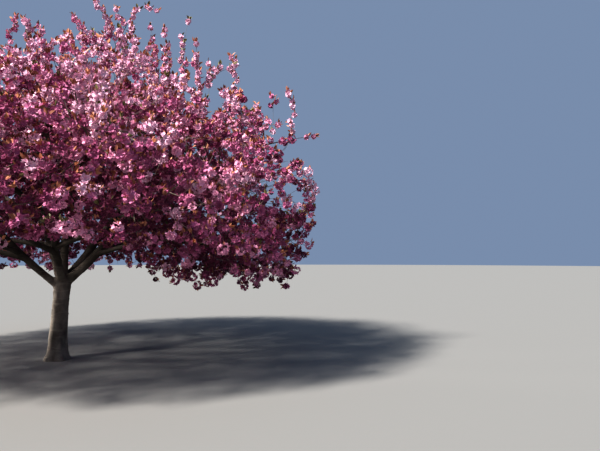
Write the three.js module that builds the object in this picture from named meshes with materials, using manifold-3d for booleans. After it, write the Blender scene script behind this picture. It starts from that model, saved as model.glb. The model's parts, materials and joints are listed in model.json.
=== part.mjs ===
// Flowering cherry in full double blossom: a whole tree, rooted in the ground.
// Units are millimetres and +Z is up. The origin is the centre of the flat cut at ground level.
// +X is to the right and +Y runs away, as the tree is seen from its front.

import * as THREE from 'three';
import { mergeVertices } from 'three/addons/utils/BufferGeometryUtils.js';
import Module from 'manifold-3d';

const wasm = await Module();
wasm.setup();

// Driving dimensions of the trunk
const TRUNK_HEIGHT = 1230;
const TRUNK_LEAN = 62;
const TRUNK_LOW_RADIUS = 140;
const TRUNK_HIGH_RADIUS = 113;
const ROOT_FLARE = 55;
const ROOT_FLARE_HEIGHT = 95;
const ROOT_LOBES = 5;
const FORK_SWELL = 16;
const FORK_SWELL_POWER = 6;
const LEAN_POWER = 1.3;
const TAPER_SPAN = 1.5;
const LOBE_DEPTH = 0.1;
const TRUNK_SIDES = 15;
const TRUNK_STEPS = 9;
const TRUNK_STEP_POWER = 1.6;

// Driving dimensions of the crown: a wide skirt, the body above it, and a dome to one side on top
const CROWN_RADIUS = 4020;
const CROWN_MIDDLE = 2500;
const CROWN_TUCK = 0.4;
const DOME_SHIFT = 450;
const CROWN_SHELLS = [
  { shift: 0, radius: CROWN_RADIUS, middle: CROWN_MIDDLE, rise: 720, power: 2.8 },
  { shift: 250, radius: 3500, middle: CROWN_MIDDLE, rise: 1550, power: 3.6 },
  { shift: DOME_SHIFT, radius: 1650, middle: 3200, rise: 1700, power: 2.2 },
];
const CROWN_FLOOR = 1430;
const RIGHT_FLOOR_DROP = 330;
const RIGHT_BEARING = -12;
const FRONT_FLOOR_LIFT = 260;
const FRONT_BEARING = -82;
const SHOOT_RISE = 850;

// Driving dimensions of the limbs and boughs
const LIMB_TIP_RADIUS = 27;
const BOUGH_FOOT_RADIUS = 39;
const BOUGH_TIP_RADIUS = 19;
const LIMB_CROOK = 45;
const BOUGH_CROOK = 55;
const COLLAR_LENGTH = 90;
const COLLAR_SWELL = 0.3;
const LIMB_TAPER = 0.9;
const FOOT_PULL = 0.4;
const TIP_PULL = 0.35;
const LIMB_RISE = 38;
const LIMB_SIDES = 7;
const BOUGH_SIDES = 5;
const BOUGH_SPREAD = 0.6;
const BOUGH_STAGGER = 0.05;
const LIMBS = [
  { side: 'right', bearing: -20, leaves: 1120, radius: 70 },
  { side: 'back_right', bearing: 38, leaves: 1165, radius: 68 },
  { side: 'back', bearing: 110, leaves: 1110, radius: 58 },
  { side: 'left', bearing: 190, leaves: 1060, radius: 57 },
  { side: 'front', bearing: 262, leaves: 1150, radius: 60 },
];
const LEADER_RADIUS = 66;

// Tiers of blossom: how far out and how high the centres of its masses lie, where along its
// limb a bough leaves for each, how far it is turned, and how steeply it leaves
const TIERS = {
  high: { reach: 1850, height: 3380, shoots: 3 },
  middle: { reach: 2930, height: 2900, leaves: 0.5, turn: -3, rise: 30, shoots: 2 },
  low: { reach: 2950, height: 1960, leaves: 0.24, turn: 7, rise: 16, shoots: 0 },
};
const TOP_HEIGHT = 4030;
const BEARING_SCATTER = 5;
const REACH_SCATTER = 160;
const HEIGHT_SCATTER = 200;
const ENTRY_DEPTH = 620;
const STEM_LENGTH = 850;

// Driving dimensions of the twigs and sprays
const TWIG_TIP_RADIUS = 1.5;
const TWIG_TAPER = 0.9;
const ORDER_TAPER = 0.46;
const SPRAY_LENGTH = 240;
const SPRAY_WIDTH = 172;
const SPRAY_SPACING = 440;
const SPRAYS_PER_MASS = 21;
const SPRAY_SCALES = { least: 0.85, range: 0.3 };
const SPRAY_CORE = 0.7;
const SHOOT_LENGTH = 560;
const SHOOT_LENGTHS = { least: 0.7, range: 0.6 };
const SHOOT_SPRAY_SCALE = 0.9;
const FIT_GAP = 0.3;
const SPRAY_SEAT = 0.3;
const SPRAY_LIFT = 0.35;
const SHOOT_LEAN = 0.6;
const SHOOT_SLIMNESS = 0.5;
const TALL_SHOOT_RISE = 1300;
const TALL_SHOOTS = [
  { bearing: -28, reach: 600, rise: 1330 },
  { bearing: 150, reach: 340, rise: 1290 },
];
const WOOD_CLEARANCE = 12;
const CELL_MARGIN = 6;

// Settings of the rule by which the twigs branch
const SEED = 67;
const SEED_STRIDE = 7919;
const STREAM_STRIDE = 104729;
const DRAW_FACTOR = 48271;
const DRAW_MODULUS = 2147483647;
const PLAN_STREAM = 900;
const PLACE_TRIALS = 3600;
const SEARCH_REACH = 1350;
const INNER_SHARE = 0.56;
const DETOUR_WEIGHT = 0.55;
const TURN_BACK_WEIGHT = 0.9;
const TRAIL_SPAN = 2100;
const TURN_LIMIT = 0.25;
const STEM_NODES = [0.12, 0.24, 0.36, 0.48, 0.6, 0.72];
const TWIG_NODES = [0.3, 0.6, 1];

const BARK = { color: 0x4a3a34, roughness: 0.92 };
const BLOSSOM = { high: 0xd988ae, middle: 0xc76a97, low: 0xa84f7c };
const BLOSSOM_ROUGHNESS = 0.8;

const UP = new THREE.Vector3(0, 0, 1);
const DEGREE = Math.PI / 180;

// Seeded draws from 0 to 1
function seededDraws(stream) {
  let state = (SEED * SEED_STRIDE + stream * STREAM_STRIDE) % DRAW_MODULUS;
  const draw = () => {
    state = (state * DRAW_FACTOR) % DRAW_MODULUS;
    return state / DRAW_MODULUS;
  };
  draw();
  draw();
  return draw;
}

function heading(bearing, rise) {
  const flat = Math.cos(rise * DEGREE);
  return new THREE.Vector3(
    flat * Math.cos(bearing * DEGREE),
    flat * Math.sin(bearing * DEGREE),
    Math.sin(rise * DEGREE),
  );
}

function along(from, direction, distance) {
  return from.clone().addScaledVector(direction, distance);
}

// A closed geometry as a solid that can be joined and cut
function solidFrom(geometry) {
  geometry.deleteAttribute('normal');
  geometry.deleteAttribute('uv');
  const merged = mergeVertices(geometry, 1e-3);
  return new wasm.Manifold(new wasm.Mesh({
    numProp: 3,
    vertProperties: new Float32Array(merged.attributes.position.array),
    triVerts: new Uint32Array(merged.index.array),
  }));
}

// The main body of a solid, without loose scraps and with sealed hollows filled
function mainBody(solid) {
  return solid.decompose().reduce((best, body) => (body.volume() > best.volume() ? body : best));
}

function meshFrom(name, solid, color, roughness) {
  const { vertProperties, triVerts } = mainBody(solid).getMesh();
  const geometry = new THREE.BufferGeometry();
  geometry.setAttribute('position', new THREE.BufferAttribute(vertProperties, 3));
  geometry.setIndex(new THREE.BufferAttribute(triVerts, 1));
  geometry.computeVertexNormals();
  const material = new THREE.MeshStandardMaterial({ color, roughness, metalness: 0 });
  const mesh = new THREE.Mesh(geometry, material);
  mesh.name = name;
  return mesh;
}

// A straight round bar of unit radius and length, in flats, that is then bent to its true shape
function unitBar(sides, steps) {
  const rim = Array.from({ length: sides }, (_, i) => {
    const angle = (2 * Math.PI * i) / sides;
    return new THREE.Vector2(Math.cos(angle), Math.sin(angle));
  });
  return new THREE.ExtrudeGeometry(new THREE.Shape(rim), { depth: 1, steps, bevelEnabled: false });
}

// A tapering solid along a curve, larger by a clearance on every side where one is given
function taperedSolid(curve, radiusAt, sides, steps, clearance = 0) {
  const geometry = unitBar(sides, steps);
  const frames = curve.computeFrenetFrames(steps);
  const position = geometry.attributes.position;
  for (let i = 0; i < position.count; i += 1) {
    const step = Math.round(position.getZ(i) * steps);
    const radius = radiusAt(step / steps) + clearance / Math.cos(Math.PI / sides);
    const push = clearance * (Number(step === steps) - Number(step === 0));
    const point = along(curve.getPointAt(step / steps), frames.tangents[step], push);
    point.addScaledVector(frames.normals[step], position.getX(i) * radius);
    point.addScaledVector(frames.binormals[step], position.getY(i) * radius);
    position.setXYZ(i, point.x, point.y, point.z);
  }
  return solidFrom(geometry);
}

// The trunk leans a little more as it rises, and spreads into root lobes at the ground
function trunkAxis(height) {
  return new THREE.Vector3(TRUNK_LEAN * (height / TRUNK_HEIGHT) ** LEAN_POWER, 0, height);
}

function trunkRadius(height, angle) {
  const share = height / TRUNK_HEIGHT;
  const taper = (TRUNK_HIGH_RADIUS - TRUNK_LOW_RADIUS) * Math.min(1, share * TAPER_SPAN);
  const flare = ROOT_FLARE * Math.exp(-height / ROOT_FLARE_HEIGHT);
  const fade = Math.exp(-height / (2 * ROOT_FLARE_HEIGHT));
  const lobe = 1 + LOBE_DEPTH * Math.cos(ROOT_LOBES * angle) * fade;
  return (TRUNK_LOW_RADIUS + taper + flare) * lobe + FORK_SWELL * share ** FORK_SWELL_POWER;
}

function trunkSolid(clearance = 0) {
  const geometry = unitBar(TRUNK_SIDES, TRUNK_STEPS);
  const position = geometry.attributes.position;
  for (let i = 0; i < position.count; i += 1) {
    const angle = Math.atan2(position.getY(i), position.getX(i));
    const share = position.getZ(i);
    const height = TRUNK_HEIGHT * share ** TRUNK_STEP_POWER;
    const radius = trunkRadius(height, angle) + clearance / Math.cos(Math.PI / TRUNK_SIDES);
    const point = trunkAxis(height).addScaledVector(heading(angle / DEGREE, 0), radius);
    position.setXYZ(i, point.x, point.y, share === 1 ? point.z + clearance : point.z);
  }
  return solidFrom(geometry);
}

// A limb's course: a cubic curve with a crook to one side and back
class LimbCurve extends THREE.Curve {
  constructor(start, startHeading, end, endHeading, crook) {
    super();
    const length = start.distanceTo(end);
    this.course = new THREE.CubicBezierCurve3(
      start,
      along(start, startHeading, length * FOOT_PULL),
      along(end, endHeading, length * -TIP_PULL),
      end,
    );
    this.side = end.clone().sub(start).cross(UP).normalize();
    this.crook = crook;
  }

  getPoint(t, target = new THREE.Vector3()) {
    const bend = Math.sin(2 * Math.PI * t) * Math.sin(Math.PI * t);
    return this.course.getPoint(t, target).addScaledVector(this.side, this.crook * bend);
  }
}

// One limb or bough, with its course as straight stretches that twigs keep clear of
function makeLimb(name, curve, footRadius, tipRadius, sides, steps) {
  const length = curve.getLength();
  const radiusAt = (t) => {
    const collar = COLLAR_SWELL * footRadius * Math.exp((-t * length) / COLLAR_LENGTH);
    return tipRadius + (footRadius - tipRadius) * (1 - t) ** LIMB_TAPER + collar;
  };
  const stretches = [];
  for (let i = 0; i < steps; i += 1) {
    const from = curve.getPointAt(i / steps);
    const to = curve.getPointAt((i + 1) / steps);
    stretches.push({ from, to, radius: radiusAt(i / steps) });
  }
  const solid = (clearance) => taperedSolid(curve, radiusAt, sides, steps, clearance);
  return { name, curve, tipRadius, stretches, solid };
}

// The crown's bounds: how far out a point lies of the shell that reaches furthest there, and an
// underside of uneven height
function shellShare(point, shell, extraRise) {
  const flat = Math.hypot(point.x - shell.shift, point.y) / shell.radius;
  const rise = Math.max(0, point.z - shell.middle) / (shell.rise + extraRise);
  return (flat ** shell.power + rise ** shell.power) ** (1 / shell.power);
}

function crownShare(point, extraRise = 0) {
  if (point.z < CROWN_MIDDLE) {
    const drop = (CROWN_MIDDLE - point.z) / CROWN_MIDDLE;
    return Math.hypot(point.x, point.y) / CROWN_RADIUS / (1 - CROWN_TUCK * drop * drop);
  }
  return Math.min(...CROWN_SHELLS.map((shell) => shellShare(point, shell, extraRise)));
}

function crownFloor(bearing) {
  const right = Math.max(0, Math.cos((bearing - RIGHT_BEARING) * DEGREE));
  const front = Math.max(0, Math.cos((bearing - FRONT_BEARING) * DEGREE));
  return CROWN_FLOOR - RIGHT_FLOOR_DROP * right ** 2 + FRONT_FLOOR_LIFT * front ** 2;
}

function inCrown(point, inset, extraRise = 0) {
  const floor = crownFloor(Math.atan2(point.y, point.x) / DEGREE);
  return crownShare(point, extraRise) < 1 - inset / CROWN_RADIUS && point.z > floor + inset;
}

// The masses: one high mass to each limb, two middle and two low ones, and one at the top
function planMasses() {
  const masses = [];
  const place = (name, tier, limb, number, bearing) => {
    const draw = seededDraws(PLAN_STREAM + masses.length);
    const { reach, height } = TIERS[tier];
    const lower = tier === 'low' ? crownFloor(bearing) - CROWN_FLOOR : 0;
    const centre = heading(bearing + BEARING_SCATTER * (draw() - 0.5), 0)
      .multiplyScalar(reach + REACH_SCATTER * (draw() - 0.5))
      .setZ(height + lower + HEIGHT_SCATTER * (draw() - 0.5));
    masses.push({ name, tier, limb, number, bearing, centre });
  };
  LIMBS.forEach((limb, i) => {
    const before = LIMBS.at(i - 1).bearing;
    const after = LIMBS[(i + 1) % LIMBS.length].bearing;
    const gapBefore = (limb.bearing - before + 360) % 360;
    const gapAfter = (after - limb.bearing + 360) % 360;
    place(`blossom_${limb.side}_high`, 'high', limb, 0, limb.bearing);
    ['middle', 'low'].forEach((tier) => {
      const turned = limb.bearing + TIERS[tier].turn;
      place(`blossom_${limb.side}_${tier}_1`, tier, limb, 1, turned - gapBefore / 4);
      place(`blossom_${limb.side}_${tier}_2`, tier, limb, 2, turned + gapAfter / 4);
    });
  });
  const centre = new THREE.Vector3(DOME_SHIFT, 0, TOP_HEIGHT);
  masses.push({ name: 'blossom_top', tier: 'high', number: 0, centre });
  return masses;
}

// The wood that carries a mass ends short of the mass's centre, and points at it
function carryMass(mass, name, start, startHeading, size) {
  const inward = along(start, startHeading, ENTRY_DEPTH).sub(mass.centre).normalize();
  const end = along(mass.centre, inward, ENTRY_DEPTH);
  const curve = new LimbCurve(start, startHeading, end, inward.negate(), size.crook);
  mass.limb = makeLimb(name, curve, size.foot, size.tip, size.sides, size.sides);
  return mass.limb;
}

function growLimbs(masses) {
  const limbSize = (foot, crook) => ({ foot, tip: LIMB_TIP_RADIUS, crook, sides: LIMB_SIDES });
  const crotch = along(trunkAxis(TRUNK_HEIGHT), UP, FIT_GAP);
  const limbs = [carryMass(masses.at(-1), 'leader', crotch, UP, limbSize(LEADER_RADIUS, LIMB_CROOK))];
  LIMBS.forEach((plan, i) => {
    const [high, ...others] = masses.filter((mass) => mass.limb === plan);
    const turn = i % 2 ? -1 : 1;
    const start = trunkAxis(plan.leaves);
    const startHeading = heading(plan.bearing, LIMB_RISE);
    const size = limbSize(plan.radius, LIMB_CROOK * turn);
    const main = carryMass(high, `limb_${plan.side}`, start, startHeading, size);
    limbs.push(main);
    others.forEach((mass, k) => {
      const tier = TIERS[mass.tier];
      const foot = main.curve.getPointAt(tier.leaves + BOUGH_STAGGER * mass.number);
      const spread = mass.bearing + BOUGH_SPREAD * (mass.bearing - plan.bearing);
      const name = `bough_${plan.side}_${mass.tier}_${mass.number}`;
      limbs.push(carryMass(mass, name, foot, heading(spread, tier.rise), {
        foot: BOUGH_FOOT_RADIUS,
        tip: BOUGH_TIP_RADIUS,
        crook: BOUGH_CROOK * (k % 2 ? -1 : 1),
        sides: BOUGH_SIDES,
      }));
    });
  });
  return limbs;
}

// Tests that keep twigs and sprays inside their mass's own space and clear of the wood
function inCell(point, mass, masses, inset) {
  return masses.every((other) => {
    const between = mass.centre.distanceTo(other.centre);
    const lead = point.distanceToSquared(other.centre) - point.distanceToSquared(mass.centre);
    return other === mass || lead / (2 * between) > inset;
  });
}

function stretchDistance(from, to, wood) {
  const a = to.clone().sub(from);
  const b = wood.to.clone().sub(wood.from);
  const gap = from.clone().sub(wood.from);
  const [aa, bb, ab] = [a.dot(a), b.dot(b), a.dot(b)];
  const clamp = (value) => Math.min(1, Math.max(0, value));
  let s = clamp((ab * b.dot(gap) - bb * a.dot(gap)) / Math.max(aa * bb - ab * ab, 1e-6));
  const t = clamp((ab * s + b.dot(gap)) / bb);
  s = clamp((ab * t - a.dot(gap)) / aa);
  return gap.addScaledVector(a, s).addScaledVector(b, -t).length();
}

function clearOfWood(from, to, radius, stretches) {
  return stretches.every((wood) => (
    stretchDistance(from, to, wood) > wood.radius + radius + WOOD_CLEARANCE
  ));
}

// Twigs: straight tapering stretches, with nodes along them where later twigs may leave
function twigRadius(footRadius, trail, order) {
  const left = 1 - Math.min(1, trail / TRAIL_SPAN);
  return TWIG_TIP_RADIUS + (footRadius - TWIG_TIP_RADIUS) * left ** TWIG_TAPER * ORDER_TAPER ** order;
}

function addTwig(growth, from, to, trail, order) {
  const length = from.distanceTo(to);
  const direction = to.clone().sub(from).normalize();
  const shares = order === 0 ? STEM_NODES : TWIG_NODES;
  shares.forEach((share) => {
    const reach = length * share;
    growth.nodes.push({ point: along(from, direction, reach), direction, trail: trail + reach, order });
  });
  growth.twigs.push({ curve: new THREE.LineCurve3(from, to), trail, length, order });
}

// The node that serves a place best has a short way to it and a short trail behind it
function bestNode(nodes, place) {
  const cost = (node) => {
    const way = place.clone().sub(node.point);
    const length = way.length();
    const turnsBack = way.dot(node.direction) < TURN_LIMIT * length;
    return length + DETOUR_WEIGHT * node.trail + (turnsBack ? TURN_BACK_WEIGHT * length : 0);
  };
  return nodes.reduce((best, node) => (cost(node) < cost(best) ? node : best));
}

function makeSpray(tip, direction, scale, slimness) {
  const axis = direction.clone().addScaledVector(UP, SPRAY_LIFT).normalize();
  const length = SPRAY_LENGTH * scale;
  const width = SPRAY_WIDTH * scale * slimness;
  return {
    centre: along(tip, axis, length * SPRAY_SEAT),
    turn: new THREE.Quaternion().setFromUnitVectors(UP, axis),
    size: new THREE.Vector3(width, width, length),
  };
}

function sprayFits(spray, mass, masses, stretches, extraRise) {
  const arms = [0, 1, 2].map((k) => (
    new THREE.Vector3().setComponent(k, spray.size.getComponent(k)).applyQuaternion(spray.turn)
  ));
  const corners = arms.flatMap((arm) => [1, -1].map((sign) => along(spray.centre, arm, sign)));
  const low = along(spray.centre, arms[2], -SPRAY_CORE);
  const high = along(spray.centre, arms[2], SPRAY_CORE);
  return corners.every((corner) => inCell(corner, mass, masses, CELL_MARGIN))
    && corners.every((corner) => inCrown(corner, 0, extraRise))
    && clearOfWood(low, high, spray.size.x, stretches);
}

function twigFits(from, to, radius, mass, masses, stretches) {
  return [from, to].every((point) => inCell(point, mass, masses, CELL_MARGIN + radius))
    && clearOfWood(from, to, radius, stretches);
}

// Places for sprays, spread evenly by chance through the outer part of a mass's space
function sprayPlaces(mass, masses, draw) {
  const places = [];
  for (let trial = 0; trial < PLACE_TRIALS && places.length < SPRAYS_PER_MASS; trial += 1) {
    const offset = new THREE.Vector3(draw() - 0.5, draw() - 0.5, draw() - 0.5);
    const place = along(mass.centre, offset, 2 * SEARCH_REACH);
    if (
      crownShare(place) > INNER_SHARE
      && inCrown(place, SPRAY_WIDTH)
      && inCell(place, mass, masses, SPRAY_WIDTH)
      && places.every((other) => other.distanceTo(place) > SPRAY_SPACING)
    ) {
      places.push(place);
    }
  }
  return places;
}

// Grows one mass: a stem from the tip of its wood, a twig with a spray to each place that can be
// reached within the mass's space, then upright shoots from the highest places. The mass at the
// top also has two tall shoots, one of them out over the right side.
function growMass(mass, masses, stretches) {
  const draw = seededDraws(masses.indexOf(mass));
  const growth = { nodes: [], twigs: [], sprays: [] };
  const ahead = mass.limb.curve.getTangentAt(1);
  const foot = along(mass.limb.curve.getPointAt(1), ahead, FIT_GAP);
  const tip = along(foot, ahead, STEM_LENGTH);
  addTwig(growth, foot, tip, 0, 0);
  const topSpray = makeSpray(tip, ahead, 1, 1);
  if (sprayFits(topSpray, mass, masses, stretches, 0)) {
    growth.sprays.push(topSpray);
  }
  const grow = (place, scale, slimness, extraRise) => {
    const node = bestNode(growth.nodes.filter((other) => !other.taken), place);
    const radius = twigRadius(mass.limb.tipRadius, node.trail, node.order);
    const spray = makeSpray(place, place.clone().sub(node.point).normalize(), scale, slimness);
    if (
      twigFits(node.point, place, radius, mass, masses, stretches)
      && sprayFits(spray, mass, masses, stretches, extraRise)
    ) {
      node.taken = true;
      addTwig(growth, node.point, place, node.trail, node.order + 1);
      growth.sprays.push(spray);
    }
  };
  const tallShoots = mass === masses.at(-1) ? TALL_SHOOTS : [];
  tallShoots.forEach(({ bearing, reach, rise }) => {
    const out = heading(bearing, 0).multiplyScalar(reach).setZ(rise);
    grow(mass.centre.clone().add(out), SHOOT_SPRAY_SCALE, SHOOT_SLIMNESS, TALL_SHOOT_RISE);
  });
  const places = sprayPlaces(mass, masses, draw);
  places.sort((a, b) => a.distanceTo(foot) - b.distanceTo(foot));
  places.forEach((place) => {
    grow(place, SPRAY_SCALES.least + SPRAY_SCALES.range * draw(), 1, 0);
  });
  places.sort((a, b) => b.z - a.z);
  places.slice(0, TIERS[mass.tier].shoots).forEach((place) => {
    const lean = new THREE.Vector3(draw() - 0.5, draw() - 0.5, 0).multiplyScalar(SHOOT_LEAN);
    const reach = SHOOT_LENGTH * (SHOOT_LENGTHS.least + SHOOT_LENGTHS.range * draw());
    const shootTip = along(place, lean.add(UP).normalize(), reach);
    grow(shootTip, SHOOT_SPRAY_SCALE, SHOOT_SLIMNESS, SHOOT_RISE);
  });
  return growth;
}

function spraySolid(spray) {
  const geometry = new THREE.OctahedronGeometry(1, 0);
  geometry.applyMatrix4(new THREE.Matrix4().compose(spray.centre, spray.turn, spray.size));
  return solidFrom(geometry);
}

function massSolid(mass, growth) {
  const twigs = growth.twigs.map(({ curve, trail, length, order }) => {
    const radiusAt = (t) => twigRadius(mass.limb.tipRadius, trail + length * t, order);
    return taperedSolid(curve, radiusAt, order === 0 ? 5 : 3, 1);
  });
  return [...twigs, ...growth.sprays.map(spraySolid)].reduce((whole, piece) => whole.add(piece));
}

// Assembly: each limb and bough is cut back to the wood that it grows from
const tree = new THREE.Group();
const masses = planMasses();
const limbs = growLimbs(masses);
tree.add(meshFrom('trunk', trunkSolid(), BARK.color, BARK.roughness));
limbs.forEach((limb, i) => {
  const earlier = [trunkSolid(FIT_GAP), ...limbs.slice(0, i).map((other) => other.solid(FIT_GAP))];
  const solid = earlier.reduce((rest, other) => rest.subtract(other), limb.solid(0));
  tree.add(meshFrom(limb.name, solid, BARK.color, BARK.roughness));
});
const stretches = limbs.flatMap((limb) => limb.stretches);
masses.forEach((mass) => {
  const solid = massSolid(mass, growMass(mass, masses, stretches));
  tree.add(meshFrom(mass.name, solid, BLOSSOM[mass.tier], BLOSSOM_ROUGHNESS));
});

export default tree;
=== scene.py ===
"""Flowering cherry in full double blossom, grown on from its packed limbs.

Metres, +Z up, with the origin at the centre of the flat cut at ground level. The limbs, the
spaces of the masses and the first twigs follow the rule that the solids were grown by, and the
finer twigs, the blossom and the leaves carry that rule on within the same reach.
"""

import collections
import functools
import itertools
import json
import math

import bmesh
import bpy
import numpy as np
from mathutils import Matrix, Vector, noise

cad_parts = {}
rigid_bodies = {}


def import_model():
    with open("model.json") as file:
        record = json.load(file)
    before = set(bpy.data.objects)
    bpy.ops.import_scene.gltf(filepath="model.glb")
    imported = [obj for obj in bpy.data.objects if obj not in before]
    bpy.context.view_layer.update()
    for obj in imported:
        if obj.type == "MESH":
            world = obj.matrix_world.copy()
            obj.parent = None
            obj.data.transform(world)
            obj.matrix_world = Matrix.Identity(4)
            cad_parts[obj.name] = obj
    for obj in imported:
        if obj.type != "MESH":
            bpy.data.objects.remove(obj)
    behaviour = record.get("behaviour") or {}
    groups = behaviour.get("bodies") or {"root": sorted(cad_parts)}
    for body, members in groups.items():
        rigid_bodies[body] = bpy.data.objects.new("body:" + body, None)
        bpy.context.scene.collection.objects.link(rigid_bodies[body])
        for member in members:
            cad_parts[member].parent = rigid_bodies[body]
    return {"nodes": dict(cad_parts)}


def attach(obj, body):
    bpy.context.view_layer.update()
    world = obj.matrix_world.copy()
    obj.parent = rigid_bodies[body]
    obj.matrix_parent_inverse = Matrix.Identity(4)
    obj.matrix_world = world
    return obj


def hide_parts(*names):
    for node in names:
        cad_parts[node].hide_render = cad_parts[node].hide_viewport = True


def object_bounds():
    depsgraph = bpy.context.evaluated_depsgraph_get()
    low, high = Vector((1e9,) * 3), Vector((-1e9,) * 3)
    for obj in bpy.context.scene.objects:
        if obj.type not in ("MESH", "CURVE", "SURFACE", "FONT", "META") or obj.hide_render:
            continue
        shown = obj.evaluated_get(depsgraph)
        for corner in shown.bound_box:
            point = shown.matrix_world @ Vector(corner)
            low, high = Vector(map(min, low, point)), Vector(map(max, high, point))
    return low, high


bl_info = {
    "name": "Blossoming Cherry Tree",
    "version": (1, 0, 0),
    "blender": (4, 5, 0),
    "location": "3D View > Sidebar > Cherry",
    "description": "Grows a cherry tree in full double blossom on from its limbs",
    "category": "Object",
}

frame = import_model()
CAD_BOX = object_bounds()

MASS_NODES = sorted(name for name in frame["nodes"] if name.startswith("blossom_"))
WOOD_NODES = sorted(name for name in frame["nodes"] if not name.startswith("blossom_"))

UP = np.array((0.0, 0.0, 1.0))
UP_VECTOR = Vector(UP)

# The trunk
TRUNK_HEIGHT = 1.23
TRUNK_LEAN = 0.062
TRUNK_LOW_RADIUS = 0.14
TRUNK_HIGH_RADIUS = 0.113
ROOT_FLARE = 0.055
ROOT_FLARE_HEIGHT = 0.095
ROOT_LOBES = 5
FORK_SWELL = 0.016
FORK_SWELL_POWER = 6
LEAN_POWER = 1.3
TAPER_SPAN = 1.5
LOBE_DEPTH = 0.1

# The crown, and the shift, radius, middle, rise and power of its skirt, its body and its dome
CROWN_RADIUS = 4.02
CROWN_MIDDLE = 2.5
CROWN_TUCK = 0.4
DOME_SHIFT = 0.45
CROWN_SHELLS = (
    (0, CROWN_RADIUS, CROWN_MIDDLE, 0.72, 2.8),
    (0.25, 3.5, CROWN_MIDDLE, 1.55, 3.6),
    (DOME_SHIFT, 1.65, 3.2, 1.7, 2.2),
)
CROWN_FLOOR = 1.43
RIGHT_FLOOR_DROP = 0.33
RIGHT_BEARING = -12
FRONT_FLOOR_LIFT = 0.26
FRONT_BEARING = -82
SHOOT_RISE = 0.85

# The limbs and boughs
LIMB_TIP_RADIUS = 0.027
BOUGH_FOOT_RADIUS = 0.039
BOUGH_TIP_RADIUS = 0.019
LIMB_CROOK = 0.045
BOUGH_CROOK = 0.055
COLLAR_LENGTH = 0.09
COLLAR_SWELL = 0.3
LIMB_TAPER = 0.9
FOOT_PULL = 0.4
TIP_PULL = 0.35
LIMB_RISE = 38
LIMB_SIDES = 7
BOUGH_SIDES = 5
BOUGH_SPREAD = 0.6
BOUGH_STAGGER = 0.05
LIMBS = {
    "right": {"bearing": -20, "leaves": 1.12, "radius": 0.07},
    "back_right": {"bearing": 38, "leaves": 1.165, "radius": 0.068},
    "back": {"bearing": 110, "leaves": 1.11, "radius": 0.058},
    "left": {"bearing": 190, "leaves": 1.06, "radius": 0.057},
    "front": {"bearing": 262, "leaves": 1.15, "radius": 0.06},
}
LEADER_RADIUS = 0.066
COURSE_SAMPLES = 201
AHEAD_STEP = 1e-4

# The tiers of blossom, the scatter of their masses, and how deep their wood and stems go
TIERS = {
    "high": {"reach": 1.85, "height": 3.38, "shoots": 3},
    "middle": {"reach": 2.93, "height": 2.9, "leaves": 0.5, "turn": -3, "rise": 30, "shoots": 2},
    "low": {"reach": 2.95, "height": 1.96, "leaves": 0.24, "turn": 7, "rise": 16, "shoots": 0},
}
TOP_HEIGHT = 4.03
BEARING_SCATTER = 5
REACH_SCATTER = 0.16
HEIGHT_SCATTER = 0.2
ENTRY_DEPTH = 0.62
STEM_LENGTH = 0.85

# The first twigs and the sprays at their ends
TWIG_TIP_RADIUS = 0.0015
TWIG_TAPER = 0.9
ORDER_TAPER = 0.46
SPRAY_LENGTH = 0.24
SPRAY_WIDTH = 0.172
SPRAY_SPACING = 0.44
SPRAYS_PER_MASS = 21
SPRAY_SCALES = (0.85, 0.3)
SPRAY_CORE = 0.7
SHOOT_LENGTH = 0.56
SHOOT_LENGTHS = (0.7, 0.6)
SHOOT_SPRAY_SCALE = 0.9
TALL_SHOOT_RISE = 1.3
TALL_SHOOTS = (("arch", -28, 0.6, 1.33), ("spire", 150, 0.34, 1.29))
FIT_GAP = 0.0003
SPRAY_SEAT = 0.3
SPRAY_LIFT = 0.35
SHOOT_LEAN = 0.6
SHOOT_SLIMNESS = 0.5
WOOD_CLEARANCE = 0.012
CELL_MARGIN = 0.006
PARALLEL_SQUARE = 1e-18

# The rule by which the twigs branch
SEED = 67
SEED_STRIDE = 7919
STREAM_STRIDE = 104729
DRAW_FACTOR = 48271
DRAW_MODULUS = 2147483647
PLAN_STREAM = 900
PLACE_TRIALS = 3600
SEARCH_REACH = 1.35
INNER_SHARE = 0.56
DETOUR_WEIGHT = 0.55
TURN_BACK_WEIGHT = 0.9
TRAIL_SPAN = 2.1
TURN_LIMIT = 0.25
STEM_NODES = (0.12, 0.24, 0.36, 0.48, 0.6, 0.72)
TWIG_NODES = (0.3, 0.6, 1)

# How the finer twigs carry the rule on, closer together on the sunny side, and sparely inside
FINE_TRIALS = 12000
FINE_SPACING = 0.25
FINE_INNER_SHARE = 0.44
FINE_INSET = 0.085
FINE_SEAM = 0.03
FINE_PER_MASS = 180
FINE_NODES = (0.2, 0.35, 0.5, 0.65, 0.8, 1)
FINE_SHOOTS = 3
FINE_SHOOT_LENGTHS = (0.15, 0.35)
FINE_SHOOT_INSET = 0.05
FINE_SHOOT_RISE = 0.4
FINE_DROOPS = 12
DROOP_LENGTHS = (0.04, 0.11)
DROOP_FLOOR = 1.5
FINE_STREAM = 2000
SUNNY_BEARING = 245
SUNNY_CLOSENESS = 0.2
INSIDE_TRIALS = 9000
INSIDE_REACH = 2.1
INSIDE_SHARES = (0.05, 0.5)
INSIDE_FLOOR = 1.93
INSIDE_FLOOR_DROP = 0.27
INSIDE_SPACING = 0.25
INSIDE_PER_MASS = 130
BEND = 0.085
SAG = 0.04
WAVER = 0.035

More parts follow.
